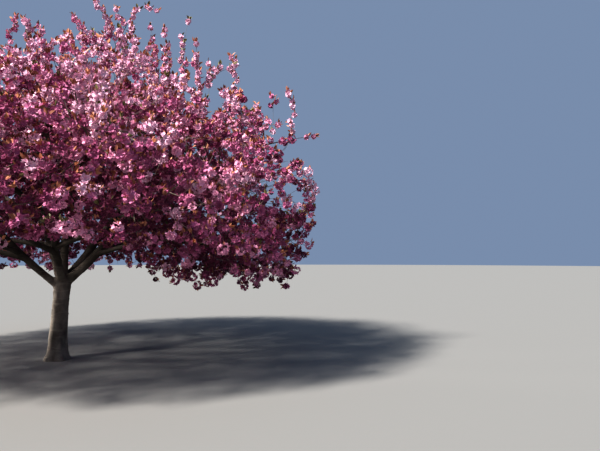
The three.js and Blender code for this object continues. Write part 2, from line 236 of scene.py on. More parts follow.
# Tips of the shoots that stand out of the crown and of one long sprig, and the tufts about the
# two tallest shoots, by how far they lie from the tips of these
SPIRES = np.array(
    (
        (0.93, -0.72, 5.01), (1.19, -0.83, 4.92), (1.34, -1.12, 4.83), (1.6, -1.45, 4.86),
        (1.88, -1.57, 4.33), (2.24, -1.52, 4.39), (2.87, -1.57, 3.93), (3.07, -1.66, 3.95),
        (-0.38, 0.52, 5.19), (-0.72, 0.66, 5.42), (-0.3, -0.6, 4.7), (-1.5, -0.9, 4.45),
        (-1.2, 1.5, 4.5), (0.9, 1.6, 4.55), (-2.3, 0.3, 4.35), (2.2, 0.9, 4.4),
    )
)
SPIRE_STEP = 0.1
SPIRE_LEAN = 0.12
SPIRE_INSET = 0.12
TUFTS = {
    "arch": np.array(((-0.22, 0.06, 0.02), (0.16, -0.07, 0.1), (0.3, -0.14, 0.07), (0.03, 0.02, -0.4))),
    "spire": np.array(((0.09, -0.03, -0.16), (-0.1, 0.04, -0.3), (0.12, -0.04, -0.44), (-0.08, 0, -0.58))),
}
SPRIG = np.array((3.5, -1.52, 3.38))

# The open lane through the right side, along the view, and the gaps drawn out beside it
LANE = np.array((3.3, -0.9, 2.56))
LANE_WAY = np.array((0.376, 0.92, 0.115))
LANE_LENGTH = 1.6
LANE_RADIUS = 0.31
LANE_RAGGEDNESS = 1.6
LANE_SCALE = 3.6
GAP_LENGTHENING = 0.9
GAP_SCALE = 3.8

# The field's level above which a gap opens, how much lower it is on the outer right, and where
# that side begins and how far it takes to be reached, across and up
GAP_LEVEL = 0.75
GAP_LEVEL_DROP = 0.57
GAP_ACROSS = (0.7, 1.5)
GAP_UP = (1.9, 0.5)

# The small hollows of the crown's outer face
HOLLOW_OUTER = 0.8
HOLLOW_SCALE = 2.3
HOLLOW_SHIFT = Vector((7, 3, 5))
HOLLOW_LEVEL = 0.24

# Each kind of twig: the rings and sides of its tube, how much it is thickened, the share of it
# where blossom begins, how far apart the blossom is, and whether it is a slim shoot
TwigKind = collections.namedtuple("TwigKind", "rings sides thickness first spacing slim")
TWIG_KINDS = {
    "stem": TwigKind(7, 9, 1, 0.3, 1, False),
    "twig": TwigKind(5, 4, 1, 0.22, 1, False),
    "shoot": TwigKind(4, 4, 1, 0.12, 0.72, True),
    "fine": TwigKind(3, 3, 1.6, 0.22, 1, False),
    "arch": TwigKind(9, 5, 1.5, 0.66, 1, True),
    "spire": TwigKind(7, 5, 1, 0.35, 0.5, True),
    "sprig": TwigKind(5, 3, 3, 0.55, 1.5, True),
}


def seeded_draws(stream):
    """Draws from 0 to 1 that are the same on every run."""
    state = (SEED * SEED_STRIDE + stream * STREAM_STRIDE) % DRAW_MODULUS

    def draw():
        nonlocal state
        state = state * DRAW_FACTOR % DRAW_MODULUS
        return state / DRAW_MODULUS

    draw()
    draw()
    return draw


def drawn(draw, limits):
    """A value by chance, from a pair of its least one and what a draw may add."""
    least, more = limits
    return least + more * draw()


def scatter(draw, axes):
    """A small offset by chance along the first two axes, or along all three."""
    return np.array([draw() - 0.5 for _ in range(axes)] + [0] * (3 - axes))


def part_way(value, start, span):
    """How far a value has come along a span of this length from its start, from 0 to 1."""
    return np.clip((value - start) / span, 0, 1)


def unit(vector):
    return vector / (np.linalg.norm(vector) or 1)


def units(vectors):
    """Unit vectors along an array's last axis."""
    return vectors / np.linalg.norm(vectors, axis=-1, keepdims=True)


def heading(bearing, rise):
    """The direction with this bearing from +X and this rise above the level, in degrees."""
    turn, lift = math.radians(bearing), math.radians(rise)
    return np.array((math.cos(lift) * math.cos(turn), math.cos(lift) * math.sin(turn), math.sin(lift)))


def trunk_axis(height):
    return np.array((TRUNK_LEAN * (height / TRUNK_HEIGHT) ** LEAN_POWER, 0.0, height))


def trunk_radius(height, angle):
    """The trunk's radius: a slow taper, root lobes that fade upwards and a swell at the fork."""
    share = height / TRUNK_HEIGHT
    taper = (TRUNK_HIGH_RADIUS - TRUNK_LOW_RADIUS) * min(1, share * TAPER_SPAN)
    flare = ROOT_FLARE * math.exp(-height / ROOT_FLARE_HEIGHT)
    fade = math.exp(-height / (2 * ROOT_FLARE_HEIGHT))
    lobe = 1 + LOBE_DEPTH * math.cos(ROOT_LOBES * angle) * fade
    return (TRUNK_LOW_RADIUS + taper + flare) * lobe + FORK_SWELL * share**FORK_SWELL_POWER


class Course:
    """A limb's course: a cubic curve with a crook to one side and back, read by share of length."""

    def __init__(self, start, start_heading, end, end_heading, crook):
        reach = np.linalg.norm(end - start)
        self.posts = (
            start,
            start + start_heading * reach * FOOT_PULL,
            end - end_heading * reach * TIP_PULL,
            end,
        )
        self.side = unit(np.cross(end - start, UP))
        self.crook = crook
        self.turns = np.linspace(0, 1, COURSE_SAMPLES)
        steps = np.linalg.norm(np.diff(self.bare(self.turns), axis=0), axis=1)
        self.lengths = np.concatenate(([0], np.cumsum(steps)))
        self.length = self.lengths[-1]

    def bare(self, turn):
        turn = np.asarray(turn, float)[..., None]
        left = 1 - turn
        start, pull, push, end = self.posts
        point = left**3 * start + 3 * left**2 * turn * pull + 3 * left * turn**2 * push + turn**3 * end
        bend = np.sin(2 * np.pi * turn) * np.sin(np.pi * turn)
        return point + self.side * self.crook * bend

    def at(self, share):
        return self.bare(np.interp(np.asarray(share) * self.length, self.lengths, self.turns))

    def ahead(self, share):
        turn = np.interp(share * self.length, self.lengths, self.turns)
        return unit(self.bare(min(1, turn + AHEAD_STEP)) - self.bare(max(0, turn - AHEAD_STEP)))


class Limb:
    """A limb or bough that tapers along its course from a collar."""

    def __init__(self, course, foot, tip, sides):
        self.course = course
        self.foot = foot
        self.tip = tip
        self.sides = sides
        self.main = sides == LIMB_SIDES

    def radius(self, share):
        share = np.asarray(share, float)
        collar = COLLAR_SWELL * self.foot * np.exp(-share * self.course.length / COLLAR_LENGTH)
        return self.tip + (self.foot - self.tip) * np.clip(1 - share, 0, 1) ** LIMB_TAPER + collar


class Mass:
    """A mass of blossom: its tier, the plan of its limb, its number there, bearing and centre."""

    def __init__(self, tier, plan, number, bearing, centre):
        self.tier = tier
        self.plan = plan
        self.number = number
        self.bearing = bearing
        self.centre = centre
        self.limb = None
        self.others = None
        self.between = None


def crown_share(point, extra_rise=0):
    """How far out a point lies of the shell that reaches furthest there."""
    x, y, z = float(point[0]), float(point[1]), float(point[2])
    if z < CROWN_MIDDLE:
        drop = (CROWN_MIDDLE - z) / CROWN_MIDDLE
        return math.hypot(x, y) / CROWN_RADIUS / (1 - CROWN_TUCK * drop * drop)
    return min(
        ((math.hypot(x - shift, y) / radius) ** power + (max(0, z - middle) / (rise + extra_rise)) ** power)
        ** (1 / power)
        for shift, radius, middle, rise, power in CROWN_SHELLS
    )


def crown_floor(bearing):
    right = max(0, math.cos(math.radians(bearing - RIGHT_BEARING)))
    front = max(0, math.cos(math.radians(bearing - FRONT_BEARING)))
    return CROWN_FLOOR - RIGHT_FLOOR_DROP * right**2 + FRONT_FLOOR_LIFT * front**2


def floor_below(point):
    return crown_floor(math.degrees(math.atan2(point[1], point[0])))


def in_crown(point, inset, extra_rise=0):
    share = crown_share(point, extra_rise)
    return share < 1 - inset / CROWN_RADIUS and point[2] > floor_below(point) + inset


def in_cell(point, mass, inset):
    """True where a point is nearer to this mass's centre than to any other, by an inset."""
    lead = ((point - mass.others) ** 2).sum(1) - ((point - mass.centre) ** 2).sum()
    return bool((lead > 2 * inset * mass.between).all())


def plan_masses():
    """One high mass to each limb, two middle and two low ones, and one at the top."""
    masses = []
    plans = list(LIMBS.values())

    def place(tier, plan, number, bearing):
        draw = seeded_draws(PLAN_STREAM + len(masses))
        size = TIERS[tier]
        lower = crown_floor(bearing) - CROWN_FLOOR if tier == "low" else 0
        centre = heading(bearing + BEARING_SCATTER * (draw() - 0.5), 0)
        centre = centre * (size["reach"] + REACH_SCATTER * (draw() - 0.5))
        centre[2] = size["height"] + lower + HEIGHT_SCATTER * (draw() - 0.5)
        masses.append(Mass(tier, plan, number, bearing, centre))

    for i, plan in enumerate(plans):
        gap_before = (plan["bearing"] - plans[i - 1]["bearing"] + 360) % 360
        gap_after = (plans[(i + 1) % len(plans)]["bearing"] - plan["bearing"] + 360) % 360
        place("high", plan, 0, plan["bearing"])
        for tier in ("middle", "low"):
            turned = plan["bearing"] + TIERS[tier]["turn"]
            place(tier, plan, 1, turned - gap_before / 4)
            place(tier, plan, 2, turned + gap_after / 4)
    masses.append(Mass("high", None, 0, 0, np.array((DOME_SHIFT, 0, TOP_HEIGHT))))
    for mass in masses:
        mass.others = np.array([other.centre for other in masses if other is not mass])
        mass.between = np.linalg.norm(mass.others - mass.centre, axis=1)
    return masses


def carry_mass(mass, start, start_heading, foot, tip, crook, sides):
    """The wood that carries a mass ends short of the mass's centre, and points at it."""
    inward = unit(start + start_heading * ENTRY_DEPTH - mass.centre)
    end = mass.centre + inward * ENTRY_DEPTH
    mass.limb = Limb(Course(start, start_heading, end, -inward, crook), foot, tip, sides)
    return mass.limb


def grow_limbs(masses):
    """The leader, and each limb with its four boughs, which crook by turns to one side and the other."""
    crotch = trunk_axis(TRUNK_HEIGHT) + UP * FIT_GAP
    limbs = [carry_mass(masses[-1], crotch, UP, LEADER_RADIUS, LIMB_TIP_RADIUS, LIMB_CROOK, LIMB_SIDES)]
    for i, plan in enumerate(LIMBS.values()):
        high, *others = [mass for mass in masses if mass.plan is plan]
        size = (plan["radius"], LIMB_TIP_RADIUS, LIMB_CROOK * (-1) ** i, LIMB_SIDES)
        start = trunk_axis(plan["leaves"])
        main = carry_mass(high, start, heading(plan["bearing"], LIMB_RISE), *size)
        limbs.append(main)
        for k, mass in enumerate(others):
            tier = TIERS[mass.tier]
            foot = main.course.at(tier["leaves"] + BOUGH_STAGGER * mass.number)
            bearing = mass.bearing + BOUGH_SPREAD * (mass.bearing - plan["bearing"])
            size = (BOUGH_FOOT_RADIUS, BOUGH_TIP_RADIUS, BOUGH_CROOK * (-1) ** k, BOUGH_SIDES)
            limbs.append(carry_mass(mass, foot, heading(bearing, tier["rise"]), *size))
    return limbs


class Wood:
    """The straight stretches of all limbs, which twigs and blossom keep clear of."""

    def __init__(self, limbs):
        starts, ends, radii = [], [], []
        for limb in limbs:
            shares = np.arange(limb.sides + 1) / limb.sides
            points = limb.course.at(shares)
            starts.append(points[:-1])
            ends.append(points[1:])
            radii.append(limb.radius(shares[:-1]))
        self.start = np.concatenate(starts)
        self.way = np.concatenate(ends) - self.start
        self.radius = np.concatenate(radii)
        self.square = (self.way**2).sum(1)

    def clear(self, start, end, radius, clearance=WOOD_CLEARANCE):
        """True where a straight piece keeps its distance from every stretch."""
        own = end - start
        gap = start - self.start
        square, cross = own @ own, self.way @ own
        way_gap, own_gap = (self.way * gap).sum(1), gap @ own
        spread = np.maximum(square * self.square - cross**2, PARALLEL_SQUARE)
        s = np.clip((cross * way_gap - self.square * own_gap) / spread, 0, 1)
        t = np.clip((cross * s + way_gap) / self.square, 0, 1)
        s = np.clip((cross * t - own_gap) / square, 0, 1)
        nearest = gap + own * s[:, None] - self.way * t[:, None]
        return bool((np.linalg.norm(nearest, axis=1) > self.radius + radius + clearance).all())


def twig_radius(foot_radius, trail, order):
    left = 1 - np.minimum(1, trail / TRAIL_SPAN)
    return TWIG_TIP_RADIUS + (foot_radius - TWIG_TIP_RADIUS) * left**TWIG_TAPER * ORDER_TAPER**order


class Twig:
    """One twig. Its ends are the rule's own, and between them it may bend."""

    def __init__(self, start, end, trail, order, parent=None, share=0):
        self.start = start
        self.end = end
        self.trail = trail
        self.order = order
        self.parent = parent
        self.share = share
        self.length = np.linalg.norm(end - start)
        self.direction = (end - start) / self.length
        self.bend = np.zeros(3)
        self.kind = "twig"

    def at(self, share):
        share = np.asarray(share, float)[..., None]
        return self.start + (self.end - self.start) * share + self.bend * 4 * share * (1 - share)

    def ahead(self, share):
        return unit(self.end - self.start + self.bend * 4 * (1 - 2 * share))

    def trail_at(self, share):
        """How far it is along the twigs from the tip of the wood to a share of this one."""
        return self.trail + self.length * share


class Growth:
    """The twigs of one mass, with the nodes where later ones may leave."""

    def __init__(self, mass):
        self.mass = mass
        self.twigs = []
        self.nodes = []

    def add(self, start, end, trail, order, shares, parent=None, share=0):
        twig = Twig(start, end, trail, order, parent, share)
        self.twigs.append(twig)
        self.add_nodes(twig, shares)
        return twig

    def add_nodes(self, twig, shares):
        for share in shares:
            self.nodes.append((twig.at(share), twig.ahead(share), twig.trail_at(share), twig, share))

    def best_node(self, place):
        """The node with a short way to a place and a short trail behind it."""
        points = np.array([node[0] for node in self.nodes])
        directions = np.array([node[1] for node in self.nodes])
        trails = np.array([node[2] for node in self.nodes])
        way = place - points
        length = np.linalg.norm(way, axis=1)
        turns_back = (way * directions).sum(1) < TURN_LIMIT * length
        cost = length + DETOUR_WEIGHT * trails + np.where(turns_back, TURN_BACK_WEIGHT * length, 0)
        return int(np.argmin(cost))


def spray_fits(tip, direction, scale, slimness, extra_rise, mass, wood):
    """True where the solid spray at a twig's end keeps to its mass's space and off the wood."""
    axis = unit(direction + UP * SPRAY_LIFT)
    length, width = SPRAY_LENGTH * scale, SPRAY_WIDTH * scale * slimness
    centre = tip + axis * length * SPRAY_SEAT
    turn = np.array(UP_VECTOR.rotation_difference(Vector(axis)).to_matrix())
    arms = [turn[:, k] * size for k, size in enumerate((width, width, length))]
    corners = [centre + arm * sign for arm in arms for sign in (1, -1)]
    core = arms[2] * SPRAY_CORE
    return (
        all(in_cell(corner, mass, CELL_MARGIN) for corner in corners)
        and all(in_crown(corner, 0, extra_rise) for corner in corners)
        and wood.clear(centre - core, centre + core, width)
    )


def spread_places(mass, draw, trials, most, inner_share, inset, spacing, seam=None, reach=SEARCH_REACH):
    """Places spread evenly by chance through the outer part of a mass's space."""
    places = []
    seam = inset if seam is None else seam
    for _ in range(trials):
        if len(places) == most:
            break
        place = scatter(draw, 3) * 2 * reach + mass.centre
        if (
            crown_share(place) > inner_share
            and in_crown(place, inset)
            and in_cell(place, mass, seam)
            and (not places or (((np.array(places) - place) ** 2).sum(1) > spacing**2).all())
        ):
            places.append(place)
    return places


def shoot_tip(place, draw, lengths):
    """The tip of a shoot that rises from a place with a small lean."""
    lean = scatter(draw, 2) * SHOOT_LEAN
    return place + unit(lean + UP) * (SHOOT_LENGTH * drawn(draw, lengths))


def grow_first_twigs(mass, index, wood):
    """A stem from the tip of the wood, a twig to each place that can be reached, and shoots."""
    draw = seeded_draws(index)
    growth = Growth(mass)
    ahead = mass.limb.course.ahead(1)
    foot = mass.limb.course.at(1) + ahead * FIT_GAP
    growth.add(foot, foot + ahead * STEM_LENGTH, 0, 0, STEM_NODES).kind = "stem"

    def grow(place, scale, slimness, extra_rise, kind):
        chosen = growth.best_node(place)
        point, _, trail, parent, share = growth.nodes[chosen]
        radius = twig_radius(mass.limb.tip, trail, parent.order)
        if (
            in_cell(point, mass, CELL_MARGIN + radius)
            and in_cell(place, mass, CELL_MARGIN + radius)
            and wood.clear(point, place, radius)
            and spray_fits(place, unit(place - point), scale, slimness, extra_rise, mass, wood)
        ):
            del growth.nodes[chosen]
            growth.add(point, place, trail, parent.order + 1, TWIG_NODES, parent, share).kind = kind

    if mass.plan is None:
        for kind, bearing, reach, rise in TALL_SHOOTS:
            place = mass.centre + heading(bearing, 0) * reach + UP * rise
            grow(place, SHOOT_SPRAY_SCALE, SHOOT_SLIMNESS, TALL_SHOOT_RISE, kind)
    places = spread_places(
        mass, draw, PLACE_TRIALS, SPRAYS_PER_MASS, INNER_SHARE, SPRAY_WIDTH, SPRAY_SPACING
    )
    places.sort(key=lambda place: np.linalg.norm(place - foot))
    for place in places:
        grow(place, drawn(draw, SPRAY_SCALES), 1, 0, "twig")
    places.sort(key=lambda place: -place[2])
    for place in places[: TIERS[mass.tier]["shoots"]]:
        tip = shoot_tip(place, draw, SHOOT_LENGTHS)
        grow(tip, SHOOT_SPRAY_SCALE, SHOOT_SLIMNESS, SHOOT_RISE, "shoot")
    return growth


def bend_twig(twig, draw):
    """A twig sets out along its parent, sags a little and wavers, and still ends in its place."""
    if twig.parent is not None:
        twig.start = twig.parent.at(twig.share)
        way = twig.end - twig.start
        twig.length = np.linalg.norm(way)
        twig.direction = way / twig.length
        parting = twig.parent.ahead(twig.share)
        parting = parting - twig.direction * (parting @ twig.direction)
        twig.bend = parting * twig.length * BEND
    level = UP - twig.direction * twig.direction[2]
    waver = scatter(draw, 3) * twig.length * WAVER
    twig.bend = twig.bend - level * twig.length * SAG + waver


def in_lane(place):
    """True in the open lane through the crown's right side, whose edge is ragged."""
    offset = place - LANE
    ahead = offset @ LANE_WAY
    aside = np.linalg.norm(offset - LANE_WAY * ahead)
    edge = 1 + LANE_RAGGEDNESS * noise.noise(Vector(place) * LANE_SCALE)
    return (ahead / LANE_LENGTH) ** 2 + (aside / LANE_RADIUS) ** 2 < edge


def left_open(place):
    """True in the lane and in the narrow gaps beside it, more of which are on the outer right."""
    across = place - LANE_WAY * (place @ LANE_WAY) * GAP_LENGTHENING
    field = noise.noise(Vector(across) * GAP_SCALE)
    right = part_way(place[0], *GAP_ACROSS) * part_way(place[2], *GAP_UP)
    return in_lane(place) or field > GAP_LEVEL - GAP_LEVEL_DROP * right


def hollow(centre, outer):
    """True in the small hollows of the crown's outer face, through which its inside is seen."""
    field = noise.noise(Vector(centre) * HOLLOW_SCALE + HOLLOW_SHIFT)
    return outer > HOLLOW_OUTER and field > HOLLOW_LEVEL


def sheltered(place):
    """True well inside the crown, above the limbs' fork, which the front leaves in view."""
    floor = INSIDE_FLOOR - INSIDE_FLOOR_DROP * part_way(place[1], 0, 1)
    return crown_share(place) < INSIDE_SHARES[1] and place[2] > floor


def grow_fine_twigs(growth, index, wood):
    """Carries the rule on to places between the first ones, from nodes along every twig."""
    mass = growth.mass
    draw = seeded_draws(FINE_STREAM + index)
    foot = growth.twigs[0].start
    for twig in growth.twigs:
        bend_twig(twig, draw)
    growth.nodes = []
    for twig in growth.twigs:
        growth.add_nodes(twig, FINE_NODES)
    sunny = max(0, unit(mass.centre * (1, 1, 0)) @ heading(SUNNY_BEARING, 0))
    spacing = FINE_SPACING * (1 - SUNNY_CLOSENESS * sunny)

    def nearest_first(places):
        return sorted(places, key=lambda place: np.linalg.norm(place - foot))

    def grow(place, kind, on_last=False):
        chosen = len(growth.nodes) - 1 if on_last else growth.best_node(place)
        point, _, trail, parent, share = growth.nodes[chosen]
        radius = twig_radius(mass.limb.tip, trail, parent.order + 1)
        fits = wood.clear(point, place, radius, 0) or parent.order == 0
        if fits:
            del growth.nodes[chosen]
            twig = growth.add(point, place, trail, parent.order + 1, (), parent, share)
            bend_twig(twig, draw)
            twig.kind = kind
            growth.add_nodes(twig, TWIG_NODES)
        return fits

    search = (FINE_TRIALS, FINE_PER_MASS, FINE_INNER_SHARE, FINE_INSET, spacing, FINE_SEAM)
    outside = spread_places(mass, draw, *search)
    places = nearest_first(place for place in outside if not left_open(place))
    search = (INSIDE_TRIALS, INSIDE_PER_MASS, INSIDE_SHARES[0], FINE_INSET, INSIDE_SPACING, FINE_SEAM)
    inside = spread_places(mass, draw, *search, INSIDE_REACH)
    for place in places + nearest_first(filter(sheltered, inside)):
        grow(place, "fine")
    if mass.tier != "low":
        places.sort(key=lambda place: -place[2])
        for place in places[:FINE_SHOOTS]:
            tip = shoot_tip(place, draw, FINE_SHOOT_LENGTHS)
            if in_crown(tip, FINE_SHOOT_INSET, SHOOT_RISE * FINE_SHOOT_RISE):
                grow(tip, "shoot")
    elif crown_floor(mass.bearing) < DROOP_FLOOR:
        places.sort(key=lambda place: place[2])
        for place in places[:FINE_DROOPS]:
            grow(place - UP * drawn(draw, DROOP_LENGTHS), "fine")
    for twig in list(growth.twigs):
        for tuft in TUFTS.get(twig.kind, ()):
            grow(twig.end + tuft, "shoot")
    if in_cell(SPRIG, mass, 0):
        grow(SPRIG, "sprig")
    for tip in SPIRES:
        if in_cell(tip, mass, 0):
            below = tip + scatter(draw, 2) * SPIRE_LEAN
            while not in_crown(below, SPIRE_INSET):
                below = below - UP * SPIRE_STEP
            if grow(below, "fine"):
                grow(tip, "shoot", on_last=True)


@functools.lru_cache(maxsize=1)
def grown_tree():
    """The whole plan of the tree: its limbs, their straight stretches and the twigs of every mass."""
    masses = plan_masses()
    limbs = grow_limbs(masses)
    wood = Wood(limbs)
    growths = []
    for index, mass in enumerate(masses):
        growth = grow_first_twigs(mass, index, wood)
        grow_fine_twigs(growth, index, wood)
        growths.append(growth)
    return limbs, wood, growths


# Meshes from arrays

def make_piece(name, points, faces, finish, smooth=False):
    """A mesh object from an array of points and one of triangles."""
    mesh = bpy.data.meshes.new(name)
    mesh.vertices.add(len(points))
    mesh.vertices.foreach_set("co", np.asarray(points, np.float32).ravel())
    mesh.loops.add(len(faces) * 3)
    mesh.loops.foreach_set("vertex_index", np.asarray(faces, np.int32).ravel())
    mesh.polygons.add(len(faces))
    mesh.polygons.foreach_set("loop_start", np.arange(0, len(faces) * 3, 3, dtype=np.int32))
    mesh.polygons.foreach_set("use_smooth", np.full(len(faces), smooth))
    mesh.update(calc_edges=True)
    mesh.validate()
    mesh.materials.append(finish)
    piece = bpy.data.objects.new(name, mesh)
    bpy.context.collection.objects.link(piece)
    return piece


def join_parts(parts):
    """One array of points and one of faces from a list of such pairs."""
    points, faces, count = [], [], 0
    for part_points, part_faces in parts:
        points.append(part_points)
        faces.append(part_faces + count)
        count += len(part_points)
    return np.concatenate(points), np.concatenate(faces)


def tube_faces(count, rings, sides, closed=True):
    """The triangles of tubes, with a fan of them at each end where they are closed."""
    i = np.arange(sides)
    j = (i + 1) % sides
    walls = []
    for ring in range(rings - 1):
        low, high = ring * sides, (ring + 1) * sides
        walls.append(np.stack((low + i, low + j, high + j), 1))
        walls.append(np.stack((low + i, high + j, high + i), 1))
    if closed:
        last = (rings - 1) * sides
        fan = np.arange(1, sides - 1)
        walls.append(np.stack((np.zeros_like(fan), fan + 1, fan), 1))
        walls.append(np.stack((np.full_like(fan, last), last + fan, last + fan + 1), 1))
    one = np.concatenate(walls)
    return (one[None] + (np.arange(count) * rings * sides)[:, None, None]).reshape(-1, 3)


def tubes(points, radii, sides, closed=True):
    """Tubes from arrays of the points (n, k, 3) and radii (n, k) of their rings."""
    way = units(points[:, -1] - points[:, 0])
    aside = np.zeros_like(way)
    aside[np.arange(len(way)), np.abs(way).argmin(1)] = 1
    along = units(np.gradient(points, axis=1))
    first = units(np.cross(along, aside[:, None, :]))
    second = np.cross(along, first)
    angle = np.arange(sides) * 2 * np.pi / sides
    rim = first[:, :, None, :] * np.cos(angle)[:, None] + second[:, :, None, :] * np.sin(angle)[:, None]
    rings = points[:, :, None, :] + rim * radii[:, :, None, None]
    return rings.reshape(-1, 3), tube_faces(len(points), points.shape[1], sides, closed)


def points_of(mesh):
    points = np.empty(len(mesh.vertices) * 3)
    mesh.vertices.foreach_get("co", points)
    return points.reshape(-1, 3)


def move_points(mesh, points):
    mesh.vertices.foreach_set("co", points.ravel())
    mesh.update()


# Bark: its lumps, its level bands, its grain, and the girth from which its relief is full
LUMP_SCALE = 7
LUMP_HEIGHT = 0.006
BAND_SCALE = Vector((9, 9, 48))
BAND_LEVEL = 0.12
BAND_HEIGHT = 0.009
GRAIN_SCALE = Vector((55, 55, 90))
GRAIN_HEIGHT = 0.0014
FULL_GIRTH = 0.06
LEAST_RELIEF = 0.2

# The trunk's rings, closer together near the ground, the feet of its limbs and its smooth fork
TRUNK_SIDES = 72
TRUNK_RINGS = 60
RING_CROWDING = 1.3
BELOW_GROUND = 0.06
STUB_SIDES = 20
STUB_RINGS = 22
STUB_DRAW_IN = 0.35
STUB_END = (0.7, 0.3)
SMOOTHING_ROUNDS = 10
SMOOTHING = 0.15
FORK_SMOOTHING = 0.45
FORK_REACH = 0.26

# The limbs, which begin inside the trunk's own mesh
LIMB_BEGIN = 0.36
LIMB_RING_STEP = 0.024
LIMB_RING_SIDES = 16
BOUGH_RING_SIDES = 11

# Where painted shade darkens the bark above the fork, and by how much
SHADE_START = 1.1
SHADE_END = 1.55
SHADE_DARKNESS = 0.7

# The spurs that carry the clusters
SPUR_RADII = (0.0035, 0.002)
SPUR_SIDES = 3


def bark_relief(point):
    """How far the bark stands out: broad lumps, level bands of lenticels and fine grain."""
    lumps = noise.noise(point * LUMP_SCALE) * LUMP_HEIGHT
    bands = max(0, noise.noise(point * BAND_SCALE) - BAND_LEVEL) * BAND_HEIGHT
    grain = noise.noise(point * GRAIN_SCALE) * GRAIN_HEIGHT
    return lumps + bands + grain


def relieve(mesh, girths=1):
    """Moves a mesh's points along their normals by the bark's relief, less on thin limbs."""
    points = points_of(mesh)
    normals = np.empty(points.size)
    mesh.vertex_normals.foreach_get("vector", normals)
    rise = np.array([bark_relief(Vector(point)) for point in points]) * girths
    move_points(mesh, points + normals.reshape(-1, 3) * rise[:, None])


def trunk_tube():
    """The trunk as a closed tube, carried a little below the ground for the cut."""
    heights = TRUNK_HEIGHT * np.linspace(0, 1, TRUNK_RINGS) ** RING_CROWDING
    heights = np.concatenate(([-BELOW_GROUND], heights))
    rings = []
    for height in heights:
        centre = trunk_axis(max(0, height))
        centre[2] = height
        for k in range(TRUNK_SIDES):
            angle = 2 * math.pi * k / TRUNK_SIDES
            radius = trunk_radius(max(0, height), angle)
            rings.append(centre + heading(math.degrees(angle), 0) * radius)
    return np.array(rings), tube_faces(1, len(heights), TRUNK_SIDES)


def stub_tube(limb, length):
    """The first stretch of a limb, drawn in at its end so that the limb comes out of it."""
    shares = np.linspace(0, length / limb.course.length, STUB_RINGS)
    draw_in = STUB_DRAW_IN * part_way(shares / shares[-1], *STUB_END) ** 2
    return tubes(limb.course.at(shares)[None], (limb.radius(shares) * (1 - draw_in))[None], STUB_SIDES)


def smooth_fork(mesh):
    """Evens out the fused trunk, most of all round its fork."""
    points = points_of(mesh)
    count = len(points)
    edges = np.empty(len(mesh.edges) * 2, np.int64)
    mesh.edges.foreach_get("vertices", edges)
    edges = edges.reshape(-1, 2)
    ends = np.concatenate((edges[:, 0], edges[:, 1]))
    others = np.concatenate((edges[:, 1], edges[:, 0]))
    degree = np.bincount(ends, minlength=count)[:, None]
    far = np.linalg.norm(points - trunk_axis(TRUNK_HEIGHT), axis=1) / FORK_REACH
    weight = (SMOOTHING + FORK_SMOOTHING * np.exp(-(far**2)))[:, None]
    for _ in range(SMOOTHING_ROUNDS):
        mean = np.stack([np.bincount(ends, points[others, k], count) for k in range(3)], 1) / degree
        points = points + (mean - points) * weight
    move_points(mesh, points)


def cut_at_ground(mesh):
    """Leaves one flat cut at ground level."""
    bm = bmesh.new()
    bm.from_mesh(mesh)
    everything = bm.verts[:] + bm.edges[:] + bm.faces[:]
    bmesh.ops.bisect_plane(bm, geom=everything, plane_co=(0, 0, 0), plane_no=(0, 0, 1), clear_inner=True)
    rim = [edge for edge in bm.edges if edge.is_boundary]
    bmesh.ops.triangle_fill(bm, use_beauty=True, use_dissolve=False, edges=rim, normal=(0, 0, -1))
    bmesh.ops.triangulate(bm, faces=bm.faces[:])
    bm.to_mesh(mesh)
    bm.free()


def principled(name, roughness, specular):
    """A new material and its nodes, links and shader."""
    material = bpy.data.materials.new(name)
    material.use_nodes = True
    nodes, links = material.node_tree.nodes, material.node_tree.links
    shader = nodes["Principled BSDF"]
    shader.inputs["Roughness"].default_value = roughness
    shader.inputs["Specular IOR Level"].default_value = specular
    return material, nodes, links, shader


def scaled_noise(nodes, links, stretch, scale, detail):
    """A noise read in the part's own place, stretched along its axes."""
    place = nodes.new("ShaderNodeTexCoord")
    mapping = nodes.new("ShaderNodeMapping")
    mapping.inputs["Scale"].default_value = stretch
    field = nodes.new("ShaderNodeTexNoise")
    field.inputs["Scale"].default_value = scale
    field.inputs["Detail"].default_value = detail
    links.new(place.outputs["Object"], mapping.inputs["Vector"])
    links.new(mapping.outputs["Vector"], field.inputs["Vector"])
    return field


def ramp(nodes, stops):
    node = nodes.new("ShaderNodeValToRGB")
    while len(node.color_ramp.elements) < len(stops):
        node.color_ramp.elements.new(1)
    for element, (position, colour) in zip(node.color_ramp.elements, stops):
        element.position = position
        element.color = (*colour, 1)
    return node


def mixed(nodes, links, factor, ground, colour):
    """The ground's colour, drawn towards a plain one by a factor."""
    mix = nodes.new("ShaderNodeMix")
    mix.data_type = "RGBA"
    mix.inputs["B"].default_value = (*colour, 1)
    links.new(factor, mix.inputs["Factor"])
    links.new(ground, mix.inputs["A"])
    return mix.outputs["Result"]


def link_bump(nodes, links, shader, field, strength, distance):
    """Lets a noise stand out of the surface."""
    bump = nodes.new("ShaderNodeBump")
    bump.inputs["Strength"].default_value = strength
    bump.inputs["Distance"].default_value = distance
    links.new(field.outputs["Fac"], bump.inputs["Height"])
    links.new(bump.outputs["Normal"], shader.inputs["Normal"])


